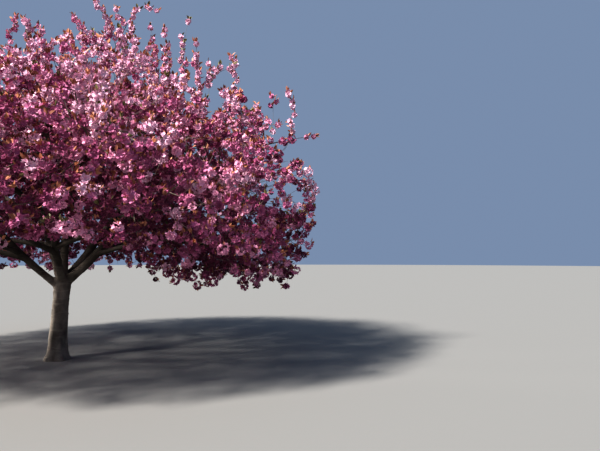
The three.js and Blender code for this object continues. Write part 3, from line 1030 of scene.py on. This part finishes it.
def bark_finish(name, settings, band_scale, shade):
    """Rough grey-brown bark, paler in level bands, darker in its hollows, with painted shade above the
    fork.
    """
    dark, pale = settings.dark, settings.pale
    material, nodes, links, shader = principled(name, roughness=0.88, specular=0.25)
    patches = scaled_noise(nodes, links, stretch=(1, 1, 0.6), scale=6, detail=5)
    bands = scaled_noise(nodes, links, stretch=(1, 1, 7), scale=band_scale, detail=4)
    grain = scaled_noise(nodes, links, stretch=(1, 1, 1.6), scale=90, detail=6)
    middle = [0.5 * (a + b) for a, b in zip(dark, pale)]
    ground = ramp(nodes, [(0.25, dark), (0.5, middle), (0.72, pale)])
    strips = ramp(nodes, [(0.55, (0, 0, 0)), (0.7, (0.5, 0.5, 0.5))])
    links.new(patches.outputs["Fac"], ground.inputs["Fac"])
    links.new(bands.outputs["Fac"], strips.inputs["Fac"])
    banded = mixed(nodes, links, strips.outputs["Color"], ground.outputs["Color"], pale)
    # Painted shade: the colour darkens with height from the fork upwards, towards a darker tone of the bark
    place = nodes.new("ShaderNodeTexCoord")
    axes = nodes.new("ShaderNodeSeparateXYZ")
    height = nodes.new("ShaderNodeMapRange")
    height.inputs["From Min"].default_value = SHADE_START
    height.inputs["From Max"].default_value = SHADE_END
    height.inputs["To Max"].default_value = shade
    links.new(place.outputs["Object"], axes.inputs["Vector"])
    links.new(axes.outputs["Z"], height.inputs["Value"])
    darkest = [SHADE_DARKNESS * part for part in dark]
    shaded = mixed(nodes, links, height.outputs["Result"], banded, darkest)
    links.new(shaded, shader.inputs["Base Color"])
    link_bump(nodes, links, shader, grain, strength=0.5, distance=0.004)
    return material


def plain_finish(name, colour, roughness, specular, vein_scale, sheen):
    """A plain base colour dealt to whole sprays, with fine veins in the surface alone."""
    material, nodes, links, shader = principled(name, roughness, specular)
    shader.inputs["Base Color"].default_value = (*colour, 1)
    shader.inputs["Sheen Weight"].default_value = sheen
    veins = scaled_noise(nodes, links, stretch=(1, 1, 1), scale=vein_scale, detail=2)
    link_bump(nodes, links, shader, veins, strength=0.2, distance=0.001)
    return material


def settle(piece, nodes):
    """A piece rides on the tree's one body and stands for its nodes, which are hidden."""
    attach(piece, "root")
    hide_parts(*nodes)
    return piece


def measure(name, description, default, kind="LENGTH"):
    return bpy.props.FloatProperty(name=name, description=description, default=default, unit=kind)


def tint(name, description, default):
    return bpy.props.FloatVectorProperty(
        name=name, description=description, default=default, subtype="COLOR"
    )


class BarkSettings(bpy.types.PropertyGroup):
    voxel: measure("Voxel", "Grain of the trunk's mesh", 0.0115)
    stub: measure("Blended length", "Length of each limb that blends into the fork", 0.62)
    dark: tint("Dark bark", "Colour of the bark's hollows", (0.055, 0.044, 0.037))
    pale: tint("Pale bark", "Colour of its worn faces and bands", (0.34, 0.3, 0.255))


class BlossomSettings(bpy.types.PropertyGroup):
    flower_radius: measure("Flower radius", "Radius of one double flower", 0.0335)
    step: measure("Cluster step", "Distance between clusters along a twig", 0.105)
    pale: tint("Pale", "Tint of the palest sprays", (0.76, 0.485, 0.61))
    pink: tint("Pink", "Tint of most sprays", (0.69, 0.34, 0.48))
    rose: tint("Rose", "Tint of fuller sprays", (0.52, 0.185, 0.33))
    deep: tint("Deep", "Tint of the low sprays", (0.34, 0.085, 0.185))
    # The darkest tint is painted shade, dealt to the innermost and lowest sprays
    painted_shade: tint("Dusk", "Tint of the innermost sprays", (0.17, 0.035, 0.08))


class LeafSettings(bpy.types.PropertyGroup):
    length: measure("Leaf length", "Length of a young leaf", 0.068)
    bronze: tint("Bronze", "Tint of many leaves", (0.27, 0.11, 0.07))
    copper: tint("Copper", "Tint of the brightest leaves", (0.47, 0.21, 0.125))
    olive: tint("Olive", "Tint of the oldest leaves", (0.16, 0.14, 0.06))


class StageSettings(bpy.types.PropertyGroup):
    floor: tint("Floor", "Colour of the floor", (0.23, 0.23, 0.225))
    surround: tint("Surround", "Colour of the light from all round", (0.55, 0.71, 1.0))
    fill: measure("Fill", "Strength of the light from all round", 0.34, "NONE")
    key: measure("Key", "Strength of the soft key light", 7.3, "NONE")
    lamp: measure("Lamp", "Power of the low lamp that reaches the trunk", 1500, "POWER")


def make_trunk(context, limbs, finish):
    """The trunk and the feet of its limbs, fused and smoothed into one fork, in relief."""
    settings = context.scene.cherry_bark
    parts = [trunk_tube()] + [stub_tube(limb, settings.stub) for limb in limbs]
    trunk = make_piece("trunk_bark", *join_parts(parts), finish, smooth=True)
    remesh = trunk.modifiers.new("fuse", "REMESH")
    remesh.mode = "VOXEL"
    remesh.voxel_size = settings.voxel
    fused = bpy.data.meshes.new_from_object(trunk.evaluated_get(context.evaluated_depsgraph_get()))
    trunk.modifiers.clear()
    trunk.data = fused
    smooth_fork(fused)
    relieve(fused)
    cut_at_ground(fused)
    fused.polygons.foreach_set("use_smooth", np.full(len(fused.polygons), True))
    return trunk


def make_limbs(limbs, finish):
    """The leader, the limbs and the boughs as round tubes in relief."""
    parts, girths = [], []
    for limb in limbs:
        sides = LIMB_RING_SIDES if limb.main else BOUGH_RING_SIDES
        begin = LIMB_BEGIN / limb.course.length if limb.main else 0
        shares = np.linspace(begin, 1, int(limb.course.length * (1 - begin) / LIMB_RING_STEP))
        radii = limb.radius(shares)
        parts.append(tubes(limb.course.at(shares)[None], radii[None], sides))
        girths.append(np.repeat(np.clip(radii / FULL_GIRTH, LEAST_RELIEF, 1), sides))
    piece = make_piece("limb_bark", *join_parts(parts), finish, smooth=True)
    relieve(piece.data, np.concatenate(girths))
    return piece


class CHERRY_OT_bark(bpy.types.Operator):
    """Models the trunk with its fork, and the limbs and boughs, in bark"""

    bl_idname = "cherry.bark"
    bl_label = "Trunk, limbs and boughs"

    def execute(self, context):
        limbs, _, _ = grown_tree()
        finish = bark_finish("bark", context.scene.cherry_bark, band_scale=5, shade=0.82)
        trunk = make_trunk(context, [limb for limb in limbs if limb.main], finish)
        settle(trunk, [name for name in WOOD_NODES if not name.startswith("bough_")])
        settle(make_limbs(limbs, finish), [name for name in WOOD_NODES if name != "trunk"])
        return {"FINISHED"}


class CHERRY_OT_twigs(bpy.types.Operator):
    """Grows the stems, twigs and shoots of every mass"""

    bl_idname = "cherry.twigs"
    bl_label = "Twigs"

    def execute(self, context):
        _, _, growths = grown_tree()
        finish = bark_finish("twig_bark", context.scene.cherry_bark, band_scale=30, shade=0.3)
        parts = []
        for name, kind in TWIG_KINDS.items():
            shares = np.linspace(0, 1, kind.rings)
            points, radii = [], []
            for growth in growths:
                for twig in growth.twigs:
                    if twig.kind == name:
                        points.append(twig.at(shares))
                        radii.append(twig_radius(growth.mass.limb.tip, twig.trail_at(shares), twig.order))
            if points:
                parts.append(tubes(np.array(points), np.array(radii) * kind.thickness, kind.sides))
        clusters = plan_clusters(context.scene.cherry_blossom.step)
        spurs = np.stack((clusters["foot"], clusters["centre"]), 1)
        parts.append(tubes(spurs, np.tile(SPUR_RADII, (len(spurs), 1)), SPUR_SIDES, closed=False))
        settle(make_piece("twigs", *join_parts(parts), finish), MASS_NODES)
        return {"FINISHED"}


# Clusters of blossom: their draws, how far past the solids' box their centres may stand, and the
# size of the cells by which their neighbours are found
CLUSTER_STREAM = 7001
TINT_STREAM = 40000
TINT_STRIDE = 400
BOX_SLACK = np.array((0.13, 0.13, 0))
CLUSTER_CELL = 0.15

# Where they sit: steps along the twig, the room left before its tip, and their spurs
STEP_SCALES = (0.8, 0.4)
TIP_ROOM = 0.4
SPUR_LIFT = 0.35
SPUR_AHEAD = 0.4
SPUR_LENGTHS = (0.03, 0.03)

# Where they are few: near the crown's axis below a height. They keep a core off the wood, and
# rise a little past the dome
AXIS_SPAN = (0.1, 0.16)
HEIGHT_SPAN = (2, 0.3)
CLUSTER_CORE = 0.03
CLUSTER_RISE = 0.1

# Inner clusters have fewer flowers, all of them simple. They lie within this share of the crown,
# and within a larger one low down
INNER_DEPTH = 0.62
LOW_INNER_DEPTH = 0.15
LOW_INNER_HEIGHT = 2.6
LOW_INNER_SPAN = 0.5

# The share of full clusters, which is larger in the fringe that hangs free low down, and the room
# that each kind of cluster takes
FULL_SHARE = 0.36
FRINGE_OUTER = 0.42
FRINGE_DEPTH = 0.16
FRINGE_FULL_SHARE = 0.75
FULL_SPACING = 0.124
OPEN_SPACING = 0.1
SLIM_SPACING = 0.062

# The rise past which an axis counts as upright
STEEP = 0.9


def cluster_shares(twig, first, gap, draw):
    """The shares of a twig where clusters sit, from where its blossom begins to its tip."""
    shares = []
    reach = first * twig.length + gap * draw()
    while reach < twig.length - TIP_ROOM * gap:
        shares.append(reach / twig.length)
        reach += gap * drawn(draw, STEP_SCALES)
    return shares + [1]


@functools.lru_cache(maxsize=1)
def plan_clusters(step):
    """Clusters of flowers along every twig, each on a spur, spaced evenly through the crown."""
    _, wood, growths = grown_tree()
    cells = {}
    rows = []
    draw = seeded_draws(CLUSTER_STREAM)
    lowest, highest = np.array(CAD_BOX[0]) - BOX_SLACK, np.array(CAD_BOX[1]) + BOX_SLACK

    def roomy(centre, spacing):
        key = tuple(np.floor(centre / CLUSTER_CELL).astype(int))
        near = [
            other
            for dx, dy, dz in itertools.product((-1, 0, 1), repeat=3)
            for other in cells.get((key[0] + dx, key[1] + dy, key[2] + dz), ())
        ]
        if any(((other - centre) ** 2).sum() < spacing**2 for other in near):
            return False
        cells.setdefault(key, []).append(centre)
        return True

    def add_cluster(twig, share, spray_tint, slim):
        foot = twig.at(share)
        ahead = twig.ahead(share)
        aside = np.cross(ahead, heading(360 * draw(), 0))
        tip = share == 1
        way = ahead if tip else unit(aside + UP * SPUR_LIFT + ahead * SPUR_AHEAD)
        centre = foot + way * drawn(draw, SPUR_LENGTHS)
        outer = crown_share(centre)
        chance = max(part_way(outer, *AXIS_SPAN), part_way(centre[2], *HEIGHT_SPAN))
        gap_here = outer > INSIDE_SHARES[1] and left_open(centre)
        if draw() > chance or gap_here or not wood.clear(foot, centre, CLUSTER_CORE, 0):
            return
        if (centre < lowest).any() or (centre > highest).any():
            return
        fringe = outer > FRINGE_OUTER and centre[2] < floor_below(centre) + FRINGE_DEPTH
        low = part_way(LOW_INNER_HEIGHT - centre[2], 0, LOW_INNER_SPAN)
        inner = not fringe and outer < INNER_DEPTH + LOW_INNER_DEPTH * low
        full = draw() < (FRINGE_FULL_SHARE if fringe else FULL_SHARE) and not slim and not inner
        spacing = SLIM_SPACING if slim else FULL_SPACING if full else OPEN_SPACING
        shown = slim or crown_share(centre, CLUSTER_RISE) < 1 and not hollow(centre, outer)
        if shown and roomy(centre, spacing):
            rows.append((foot, centre, ahead, spray_tint, tip, slim, draw(), inner, full, fringe))

    for number, growth in enumerate(growths):
        for spray, twig in enumerate(growth.twigs):
            spray_tint = seeded_draws(TINT_STREAM + number * TINT_STRIDE + spray)()
            kind = TWIG_KINDS[twig.kind]
            for share in cluster_shares(twig, kind.first, step * kind.spacing, draw):
                add_cluster(twig, share, spray_tint, kind.slim)
    names = ("foot", "centre", "ahead", "tint", "tip", "slim", "draw", "inner", "full", "fringe")
    return {name: np.array([row[k] for row in rows]) for k, name in enumerate(names)}


def random_turns(rng, axes):
    """Rotation matrices that take +Z to each axis, each with a turn of its own about it."""
    helper = np.where(np.abs(axes[:, 2:3]) < STEEP, UP, np.array((1.0, 0, 0)))
    first = units(np.cross(helper, axes))
    second = np.cross(axes, first)
    turn = rng.uniform(0, 2 * np.pi, (len(axes), 1))
    x = first * np.cos(turn) + second * np.sin(turn)
    return np.stack((x, np.cross(axes, x), axes), 2)


def placed(shapes, kinds, turns, sizes, centres):
    """Copies of a few shapes, turned, sized and placed, as one array of points and of faces."""
    parts = []
    for kind, (points, faces) in enumerate(shapes):
        chosen = kinds == kind
        if not chosen.any():
            continue
        moved = np.einsum("nij,pj->npi", turns[chosen], points) * sizes[chosen][:, None, None]
        moved = moved + centres[chosen][:, None, :]
        corners = faces[None] + (np.arange(len(moved)) * len(points))[:, None, None]
        parts.append((moved.reshape(-1, 3), corners.reshape(-1, 3)))
    return join_parts(parts)


def deal_out(finishes, tones, limits, shapes, copies):
    """Makes a piece in each finish, under its name, of the copies whose tones call for it."""
    levels = np.digitize(tones, limits)
    for level, (name, finish) in enumerate(finishes.items()):
        made = placed(shapes, *(values[levels == level] for values in copies))
        settle(make_piece(name, *made, finish), MASS_NODES)


# Flowers: their petals' count, inner and outer radius, rise and breadth in each whorl, and how
# many shapes there are of each kind
DOUBLE_FLOWER = ((5, 0.06, 1.0, 0.4, 0.52), (3, 0.0, 0.6, 0.7, 0.46))
SIMPLE_FLOWER = ((5, 0.05, 1.0, 0.62, 0.58),)
DOUBLE_SHAPES = 8
SIMPLE_SHAPES = 4

# A petal: its fold along its midline, its widest part, its notch and how much each one differs.
# A pair here is the least and the greatest value
PETAL_FOLD = 0.2
PETAL_FOLDS = (0.4, 1.3)
PETAL_SHOULDER = 0.8
PETAL_NOTCH = 0.98
PETAL_NOTCH_RISE = 0.82
PETAL_WAVE = 0.12
PETAL_TURN = 0.15
PETAL_RISES = (0.45, 1.4)
PETAL_REACHES = (0.85, 1.12)

# Flowers in a cluster: their number, how they are turned and face outwards, their least and
# greatest size, how far from the cluster's centre they sit, and the share of simple ones
OUTER_FLOWERS = 5
INNER_FLOWERS = 4
FLOWERS_BY_DRAW = 3
FULL_FLOWERS = 4
GOLDEN_ANGLE = math.pi * (3 - math.sqrt(5))
CLUSTER_TWIST = 31.415
FACING_SCATTER = 0.25
FACING_SAG = 0.15
FLOWER_SIZES = (0.85, 1.15)
SLIM_SIZE = 0.9
SEAT = 0.009
SEAT_SCATTER = 0.019
SLIM_SEAT = 0.8
FULL_SEAT = 0.026
SIMPLE_SHARE = 0.5

# Tones, from pale at the top to the darkest low inside: partly the blossom fading in the sun,
# and partly painted light high up and on the hanging fringe and painted shade low down and
# inside. Then the limits between the five tints, and the finish that these share
TONE_SPAN = (1.6, 3)
FADE_AND_PAINTED_LIGHT_BY_HEIGHT = 0.82
TONE_MIDDLE = 0.45
TONE_BY_DRAW = 0.16
INNER_PAINTED_SHADE = 0.35
FULL_TONE = 0.12
FRINGE_PAINTED_LIGHT = 0.12
TONE_LIMITS = (0.21, 0.47, 0.72, 1.0)
BLOSSOM_TINTS = ("pale", "pink", "rose", "deep", "painted_shade")
PETAL_FINISH = {"roughness": 0.62, "specular": 0.3, "vein_scale": 240, "sheen": 0.12}


def petal(rng, bearing, inner, outer, rise, breadth):
    """One notched petal as two faces that fold along its midline."""
    out = np.array((math.cos(bearing), math.sin(bearing), 0))
    side = np.array((-math.sin(bearing), math.cos(bearing), 0))
    wave = rng.uniform(-PETAL_WAVE, PETAL_WAVE, 3)
    fold = PETAL_FOLD * rng.uniform(*PETAL_FOLDS)
    left, right = (
        out * outer * PETAL_SHOULDER
        + side * sign * breadth * (1 + sign * wave[0])
        + UP * (rise * (1 + sign * wave[1]) + fold)
        for sign in (1, -1)
    )
    notch = out * outer * (PETAL_NOTCH + wave[2]) + UP * rise * PETAL_NOTCH_RISE
    return np.array((out * inner, left, notch, right))


def flower_shape(rng, whorls):
    """A flower of unit radius from its whorls."""
    petals = []
    for count, inner, outer, rise, breadth in whorls:
        start = rng.uniform(0, 2 * np.pi)
        for k in range(count):
            bearing = start + 2 * np.pi * (k + rng.uniform(-PETAL_TURN, PETAL_TURN)) / count
            lift, reach = rise * rng.uniform(*PETAL_RISES), outer * rng.uniform(*PETAL_REACHES)
            petals.append(petal(rng, bearing, inner, reach, lift, breadth))
    corners = np.arange(len(petals))[:, None, None] * 4 + np.array(((0, 2, 1), (0, 3, 2)))
    return np.concatenate(petals), corners.reshape(-1, 3)


class CHERRY_OT_blossom(bpy.types.Operator):
    """Sets clusters of double flowers on spurs along the twigs, in tints dealt out by spray"""

    bl_idname = "cherry.blossom"
    bl_label = "Blossom"

    def execute(self, context):
        settings = context.scene.cherry_blossom
        clusters = plan_clusters(settings.step)
        draws, slim, inner, full = (clusters[name] for name in ("draw", "slim", "inner", "full"))
        rng = np.random.default_rng(SEED)
        shapes = [flower_shape(rng, DOUBLE_FLOWER) for _ in range(DOUBLE_SHAPES)]
        shapes += [flower_shape(rng, SIMPLE_FLOWER) for _ in range(SIMPLE_SHAPES)]
        amount = np.where(inner, INNER_FLOWERS, OUTER_FLOWERS) + FULL_FLOWERS * full
        amount = amount + (draws * FLOWERS_BY_DRAW).astype(int)
        owner = np.repeat(np.arange(len(amount)), amount)
        count = len(owner)
        number = np.arange(count) - np.repeat(np.cumsum(amount) - amount, amount)
        rise = 1 - 2 * (number + 0.5) / amount[owner]
        turn = number * GOLDEN_ANGLE + draws[owner] * CLUSTER_TWIST
        flat = np.sqrt(1 - rise**2)
        axes = np.stack((flat * np.cos(turn), flat * np.sin(turn), rise), 1)
        axes = units(axes + rng.uniform(-FACING_SCATTER, FACING_SCATTER, axes.shape) - UP * FACING_SAG)
        sizes = settings.flower_radius * rng.uniform(*FLOWER_SIZES, count)
        sizes = sizes * np.where(slim[owner], SLIM_SIZE, 1)
        seats = SEAT + SEAT_SCATTER * rng.uniform(0, 1, count)
        seats = seats * np.where(slim[owner], SLIM_SEAT, 1) + np.where(full[owner], FULL_SEAT, 0)
        centres = clusters["centre"][owner] + axes * seats[:, None]
        turns = random_turns(rng, axes)
        simple = inner[owner] | (rng.uniform(0, 1, count) < SIMPLE_SHARE)
        simple_kinds = rng.integers(DOUBLE_SHAPES, len(shapes), count)
        kinds = np.where(simple, simple_kinds, rng.integers(0, DOUBLE_SHAPES, count))
        # Painted light and shade: paler tints high up and on the hanging fringe, darker ones low down and
        # inside, besides fading in the sun and chance
        height = part_way(clusters["centre"][:, 2], *TONE_SPAN)
        tone = clusters["tint"] - FADE_AND_PAINTED_LIGHT_BY_HEIGHT * (height - TONE_MIDDLE) + TONE_BY_DRAW * (draws - 0.5)
        tone = tone + INNER_PAINTED_SHADE * inner - FULL_TONE * full - FRINGE_PAINTED_LIGHT * clusters["fringe"]
        finishes = {
            f"blossom_{name}": plain_finish(f"petals_{name}", getattr(settings, name), **PETAL_FINISH)
            for name in BLOSSOM_TINTS
        }
        copies = (kinds, turns, sizes, centres)
        deal_out(finishes, tone[owner], TONE_LIMITS, shapes, copies)
        return {"FINISHED"}


# Leaves: how many grow at a twig's tip, elsewhere and inside the crown, the share of clusters that
# have one more, and the height above which all but the inner ones have one more
TIP_LEAVES = 3
SIDE_LEAVES = 1
INNER_LEAVES = 1
EXTRA_LEAF_SHARE = 0.6
LEAFY_HEIGHT = 2.7

# How leaves stand: along the twig at its tip and elsewhere, by chance, and upwards. Then their
# least and greatest size, and how far out they sit on full clusters and on others
LEAF_AHEAD = (0.8, 0.1)
LEAF_SCATTER = 0.5
LEAF_LIFT = 0.75
LEAF_SIZES = (0.75, 1.2)
LEAF_SEATS = (0.045, 0.024)

# How the leaves' tints are dealt out by spray, and the finish that these share
LEAF_TONE_TURN = 7.31
LEAF_TONE_LIMITS = (0.42, 0.9)
LEAF_TINTS = ("bronze", "copper", "olive")
LEAF_FINISH = {"roughness": 0.5, "specular": 0.4, "vein_scale": 160, "sheen": 0}


def leaf_shape():
    """A pointed oval leaf of unit length along +Z, folded along its midrib and curved back."""
    half = ((0.22, 0.09, 0.32), (0.2, 0.03, 0.68))
    rim = [(0, 0, 0), *half, (0, -0.16, 1), *((-x, y, z) for x, y, z in reversed(half))]
    middle = len(rim)
    faces = [(middle, k, (k + 1) % middle) for k in range(middle)]
    return np.array([*rim, (0, -0.03, 0.5)]), np.array(faces)


class CHERRY_OT_leaves(bpy.types.Operator):
    """Sets young leaves among the blossom, most of them at the twigs' tips"""

    bl_idname = "cherry.leaves"
    bl_label = "Young leaves"

    def execute(self, context):
        settings = context.scene.cherry_leaves
        clusters = plan_clusters(context.scene.cherry_blossom.step)
        tips, full = clusters["tip"], clusters["full"]
        rng = np.random.default_rng(SEED + 1)
        amount = np.where(tips, TIP_LEAVES, SIDE_LEAVES) + (clusters["draw"] < EXTRA_LEAF_SHARE) + full
        amount = amount + (clusters["centre"][:, 2] > LEAFY_HEIGHT)
        amount = np.where(clusters["inner"], INNER_LEAVES, amount)
        owner = np.repeat(np.arange(len(amount)), amount)
        offset = rng.normal(size=(len(owner), 3)) * LEAF_SCATTER
        ahead = clusters["ahead"][owner] * np.where(tips[owner], *LEAF_AHEAD)[:, None]
        axes = units(ahead + offset + UP * LEAF_LIFT)
        sizes = settings.length * rng.uniform(*LEAF_SIZES, len(owner))
        centres = clusters["centre"][owner] + axes * np.where(full[owner], *LEAF_SEATS)[:, None]
        copies = (np.zeros(len(owner), int), random_turns(rng, axes), sizes, centres)
        tone = clusters["tint"] * LEAF_TONE_TURN % 1
        finishes = {
            f"leaves_{name}": plain_finish(f"leaf_{name}", getattr(settings, name), **LEAF_FINISH)
            for name in LEAF_TINTS
        }
        deal_out(finishes, tone[owner], LEAF_TONE_LIMITS, [leaf_shape()], copies)
        return {"FINISHED"}


# The stage: its round floor, the bearing and rise of each light, and the camera, which stands at
# the distance and the eye height that the photo shows
FLOOR_RADIUS = 90
FLOOR_SIDES = 96
KEY_WAY = (198, 43)
KEY_ANGLE = 9
LAMP_WAY = (152, 3)
LAMP_SPREAD = 17
LAMP_BLEND = 0.8
LAMP_SIZE = 0.4
LIGHT_DISTANCE = 5
LIGHT_HEIGHT = 0.55
LIGHT_COLOUR = (1.0, 0.95, 0.88)
CAMERA_PLACE = (0, -9.05, 1.55)
CAMERA_TILT = 93.2
CAMERA_TURN = -23.8
CAMERA_LENS = 32.7
CAMERA_SENSOR = 36


def add_light(context, name, kind, strength, way):
    """A warm light that shines at the trunk from a bearing and a rise."""
    light = bpy.data.objects.new(name, bpy.data.lights.new(name, kind))
    light.data.energy = strength
    light.data.color = LIGHT_COLOUR
    light.rotation_euler = Vector(heading(*way)).to_track_quat("Z", "Y").to_euler()
    light.location = heading(*way) * LIGHT_DISTANCE + UP * LIGHT_HEIGHT
    context.collection.objects.link(light)
    return light.data


def add_camera(context):
    camera = bpy.data.objects.new("camera", bpy.data.cameras.new("camera"))
    camera.data.sensor_width = CAMERA_SENSOR
    camera.data.lens = CAMERA_LENS
    camera.location = CAMERA_PLACE
    camera.rotation_euler = (math.radians(CAMERA_TILT), 0, math.radians(CAMERA_TURN))
    context.collection.objects.link(camera)
    context.scene.camera = camera


def make_floor(colour):
    material, _, _, shader = principled("floor", roughness=0.9, specular=0.2)
    shader.inputs["Base Color"].default_value = (*colour, 1)
    angle = np.arange(FLOOR_SIDES) * 2 * np.pi / FLOOR_SIDES
    rim = np.stack((np.cos(angle), np.sin(angle), np.zeros(FLOOR_SIDES)), 1) * FLOOR_RADIUS
    corner = np.arange(FLOOR_SIDES)
    faces = np.stack((np.full(FLOOR_SIDES, FLOOR_SIDES), corner, (corner + 1) % FLOOR_SIDES), 1)
    return make_piece("floor", np.concatenate((rim, np.zeros((1, 3)))), faces, material)


class CHERRY_OT_stage(bpy.types.Operator):
    """Sets the floor, the soft light and the camera"""

    bl_idname = "cherry.stage"
    bl_label = "Stage"

    def execute(self, context):
        settings = context.scene.cherry_stage
        floor = make_floor(settings.floor)
        world = bpy.data.worlds.new("studio")
        context.scene.world = world
        world.use_nodes = True
        background = world.node_tree.nodes["Background"]
        background.inputs["Color"].default_value = (*settings.surround, 1)
        background.inputs["Strength"].default_value = settings.fill
        key = add_light(context, "key", "SUN", settings.key, KEY_WAY)
        key.angle = math.radians(KEY_ANGLE)
        lamp = add_light(context, "lamp", "SPOT", settings.lamp, LAMP_WAY)
        lamp.spot_size = math.radians(LAMP_SPREAD)
        lamp.spot_blend = LAMP_BLEND
        lamp.shadow_soft_size = LAMP_SIZE
        add_camera(context)
        context.scene.view_settings.view_transform = "Standard"
        context.scene.view_settings.look = "High Contrast"
        return {"FINISHED"}


class CHERRY_PT_panel(bpy.types.Panel):
    """Lists the tree's pieces and the stage"""

    bl_idname = "CHERRY_PT_panel"
    bl_label = "Blossoming Cherry"
    bl_space_type = "VIEW_3D"
    bl_region_type = "UI"
    bl_category = "Cherry"

    def draw(self, context):
        for group in ("cherry_bark", "cherry_blossom", "cherry_leaves", "cherry_stage"):
            box = self.layout.box()
            settings = getattr(context.scene, group)
            for name in settings.bl_rna.properties.keys():
                if name not in ("rna_type", "name"):
                    box.prop(settings, name)
        for operator in OPERATORS:
            self.layout.operator(operator.bl_idname)


GROUPS = {
    "cherry_bark": BarkSettings,
    "cherry_blossom": BlossomSettings,
    "cherry_leaves": LeafSettings,
    "cherry_stage": StageSettings,
}
OPERATORS = (CHERRY_OT_bark, CHERRY_OT_twigs, CHERRY_OT_blossom, CHERRY_OT_leaves, CHERRY_OT_stage)


def register():
    for name, group in GROUPS.items():
        bpy.utils.register_class(group)
        setattr(bpy.types.Scene, name, bpy.props.PointerProperty(type=group))
    for operator in OPERATORS:
        bpy.utils.register_class(operator)
    bpy.utils.register_class(CHERRY_PT_panel)


def unregister():
    bpy.utils.unregister_class(CHERRY_PT_panel)
    for operator in reversed(OPERATORS):
        bpy.utils.unregister_class(operator)
    for name, group in GROUPS.items():
        delattr(bpy.types.Scene, name)
        bpy.utils.unregister_class(group)


def main():
    register()
    bpy.ops.cherry.bark()
    bpy.ops.cherry.twigs()
    bpy.ops.cherry.blossom()
    bpy.ops.cherry.leaves()
    bpy.ops.cherry.stage()
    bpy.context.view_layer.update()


if __name__ == "__main__":
    main()
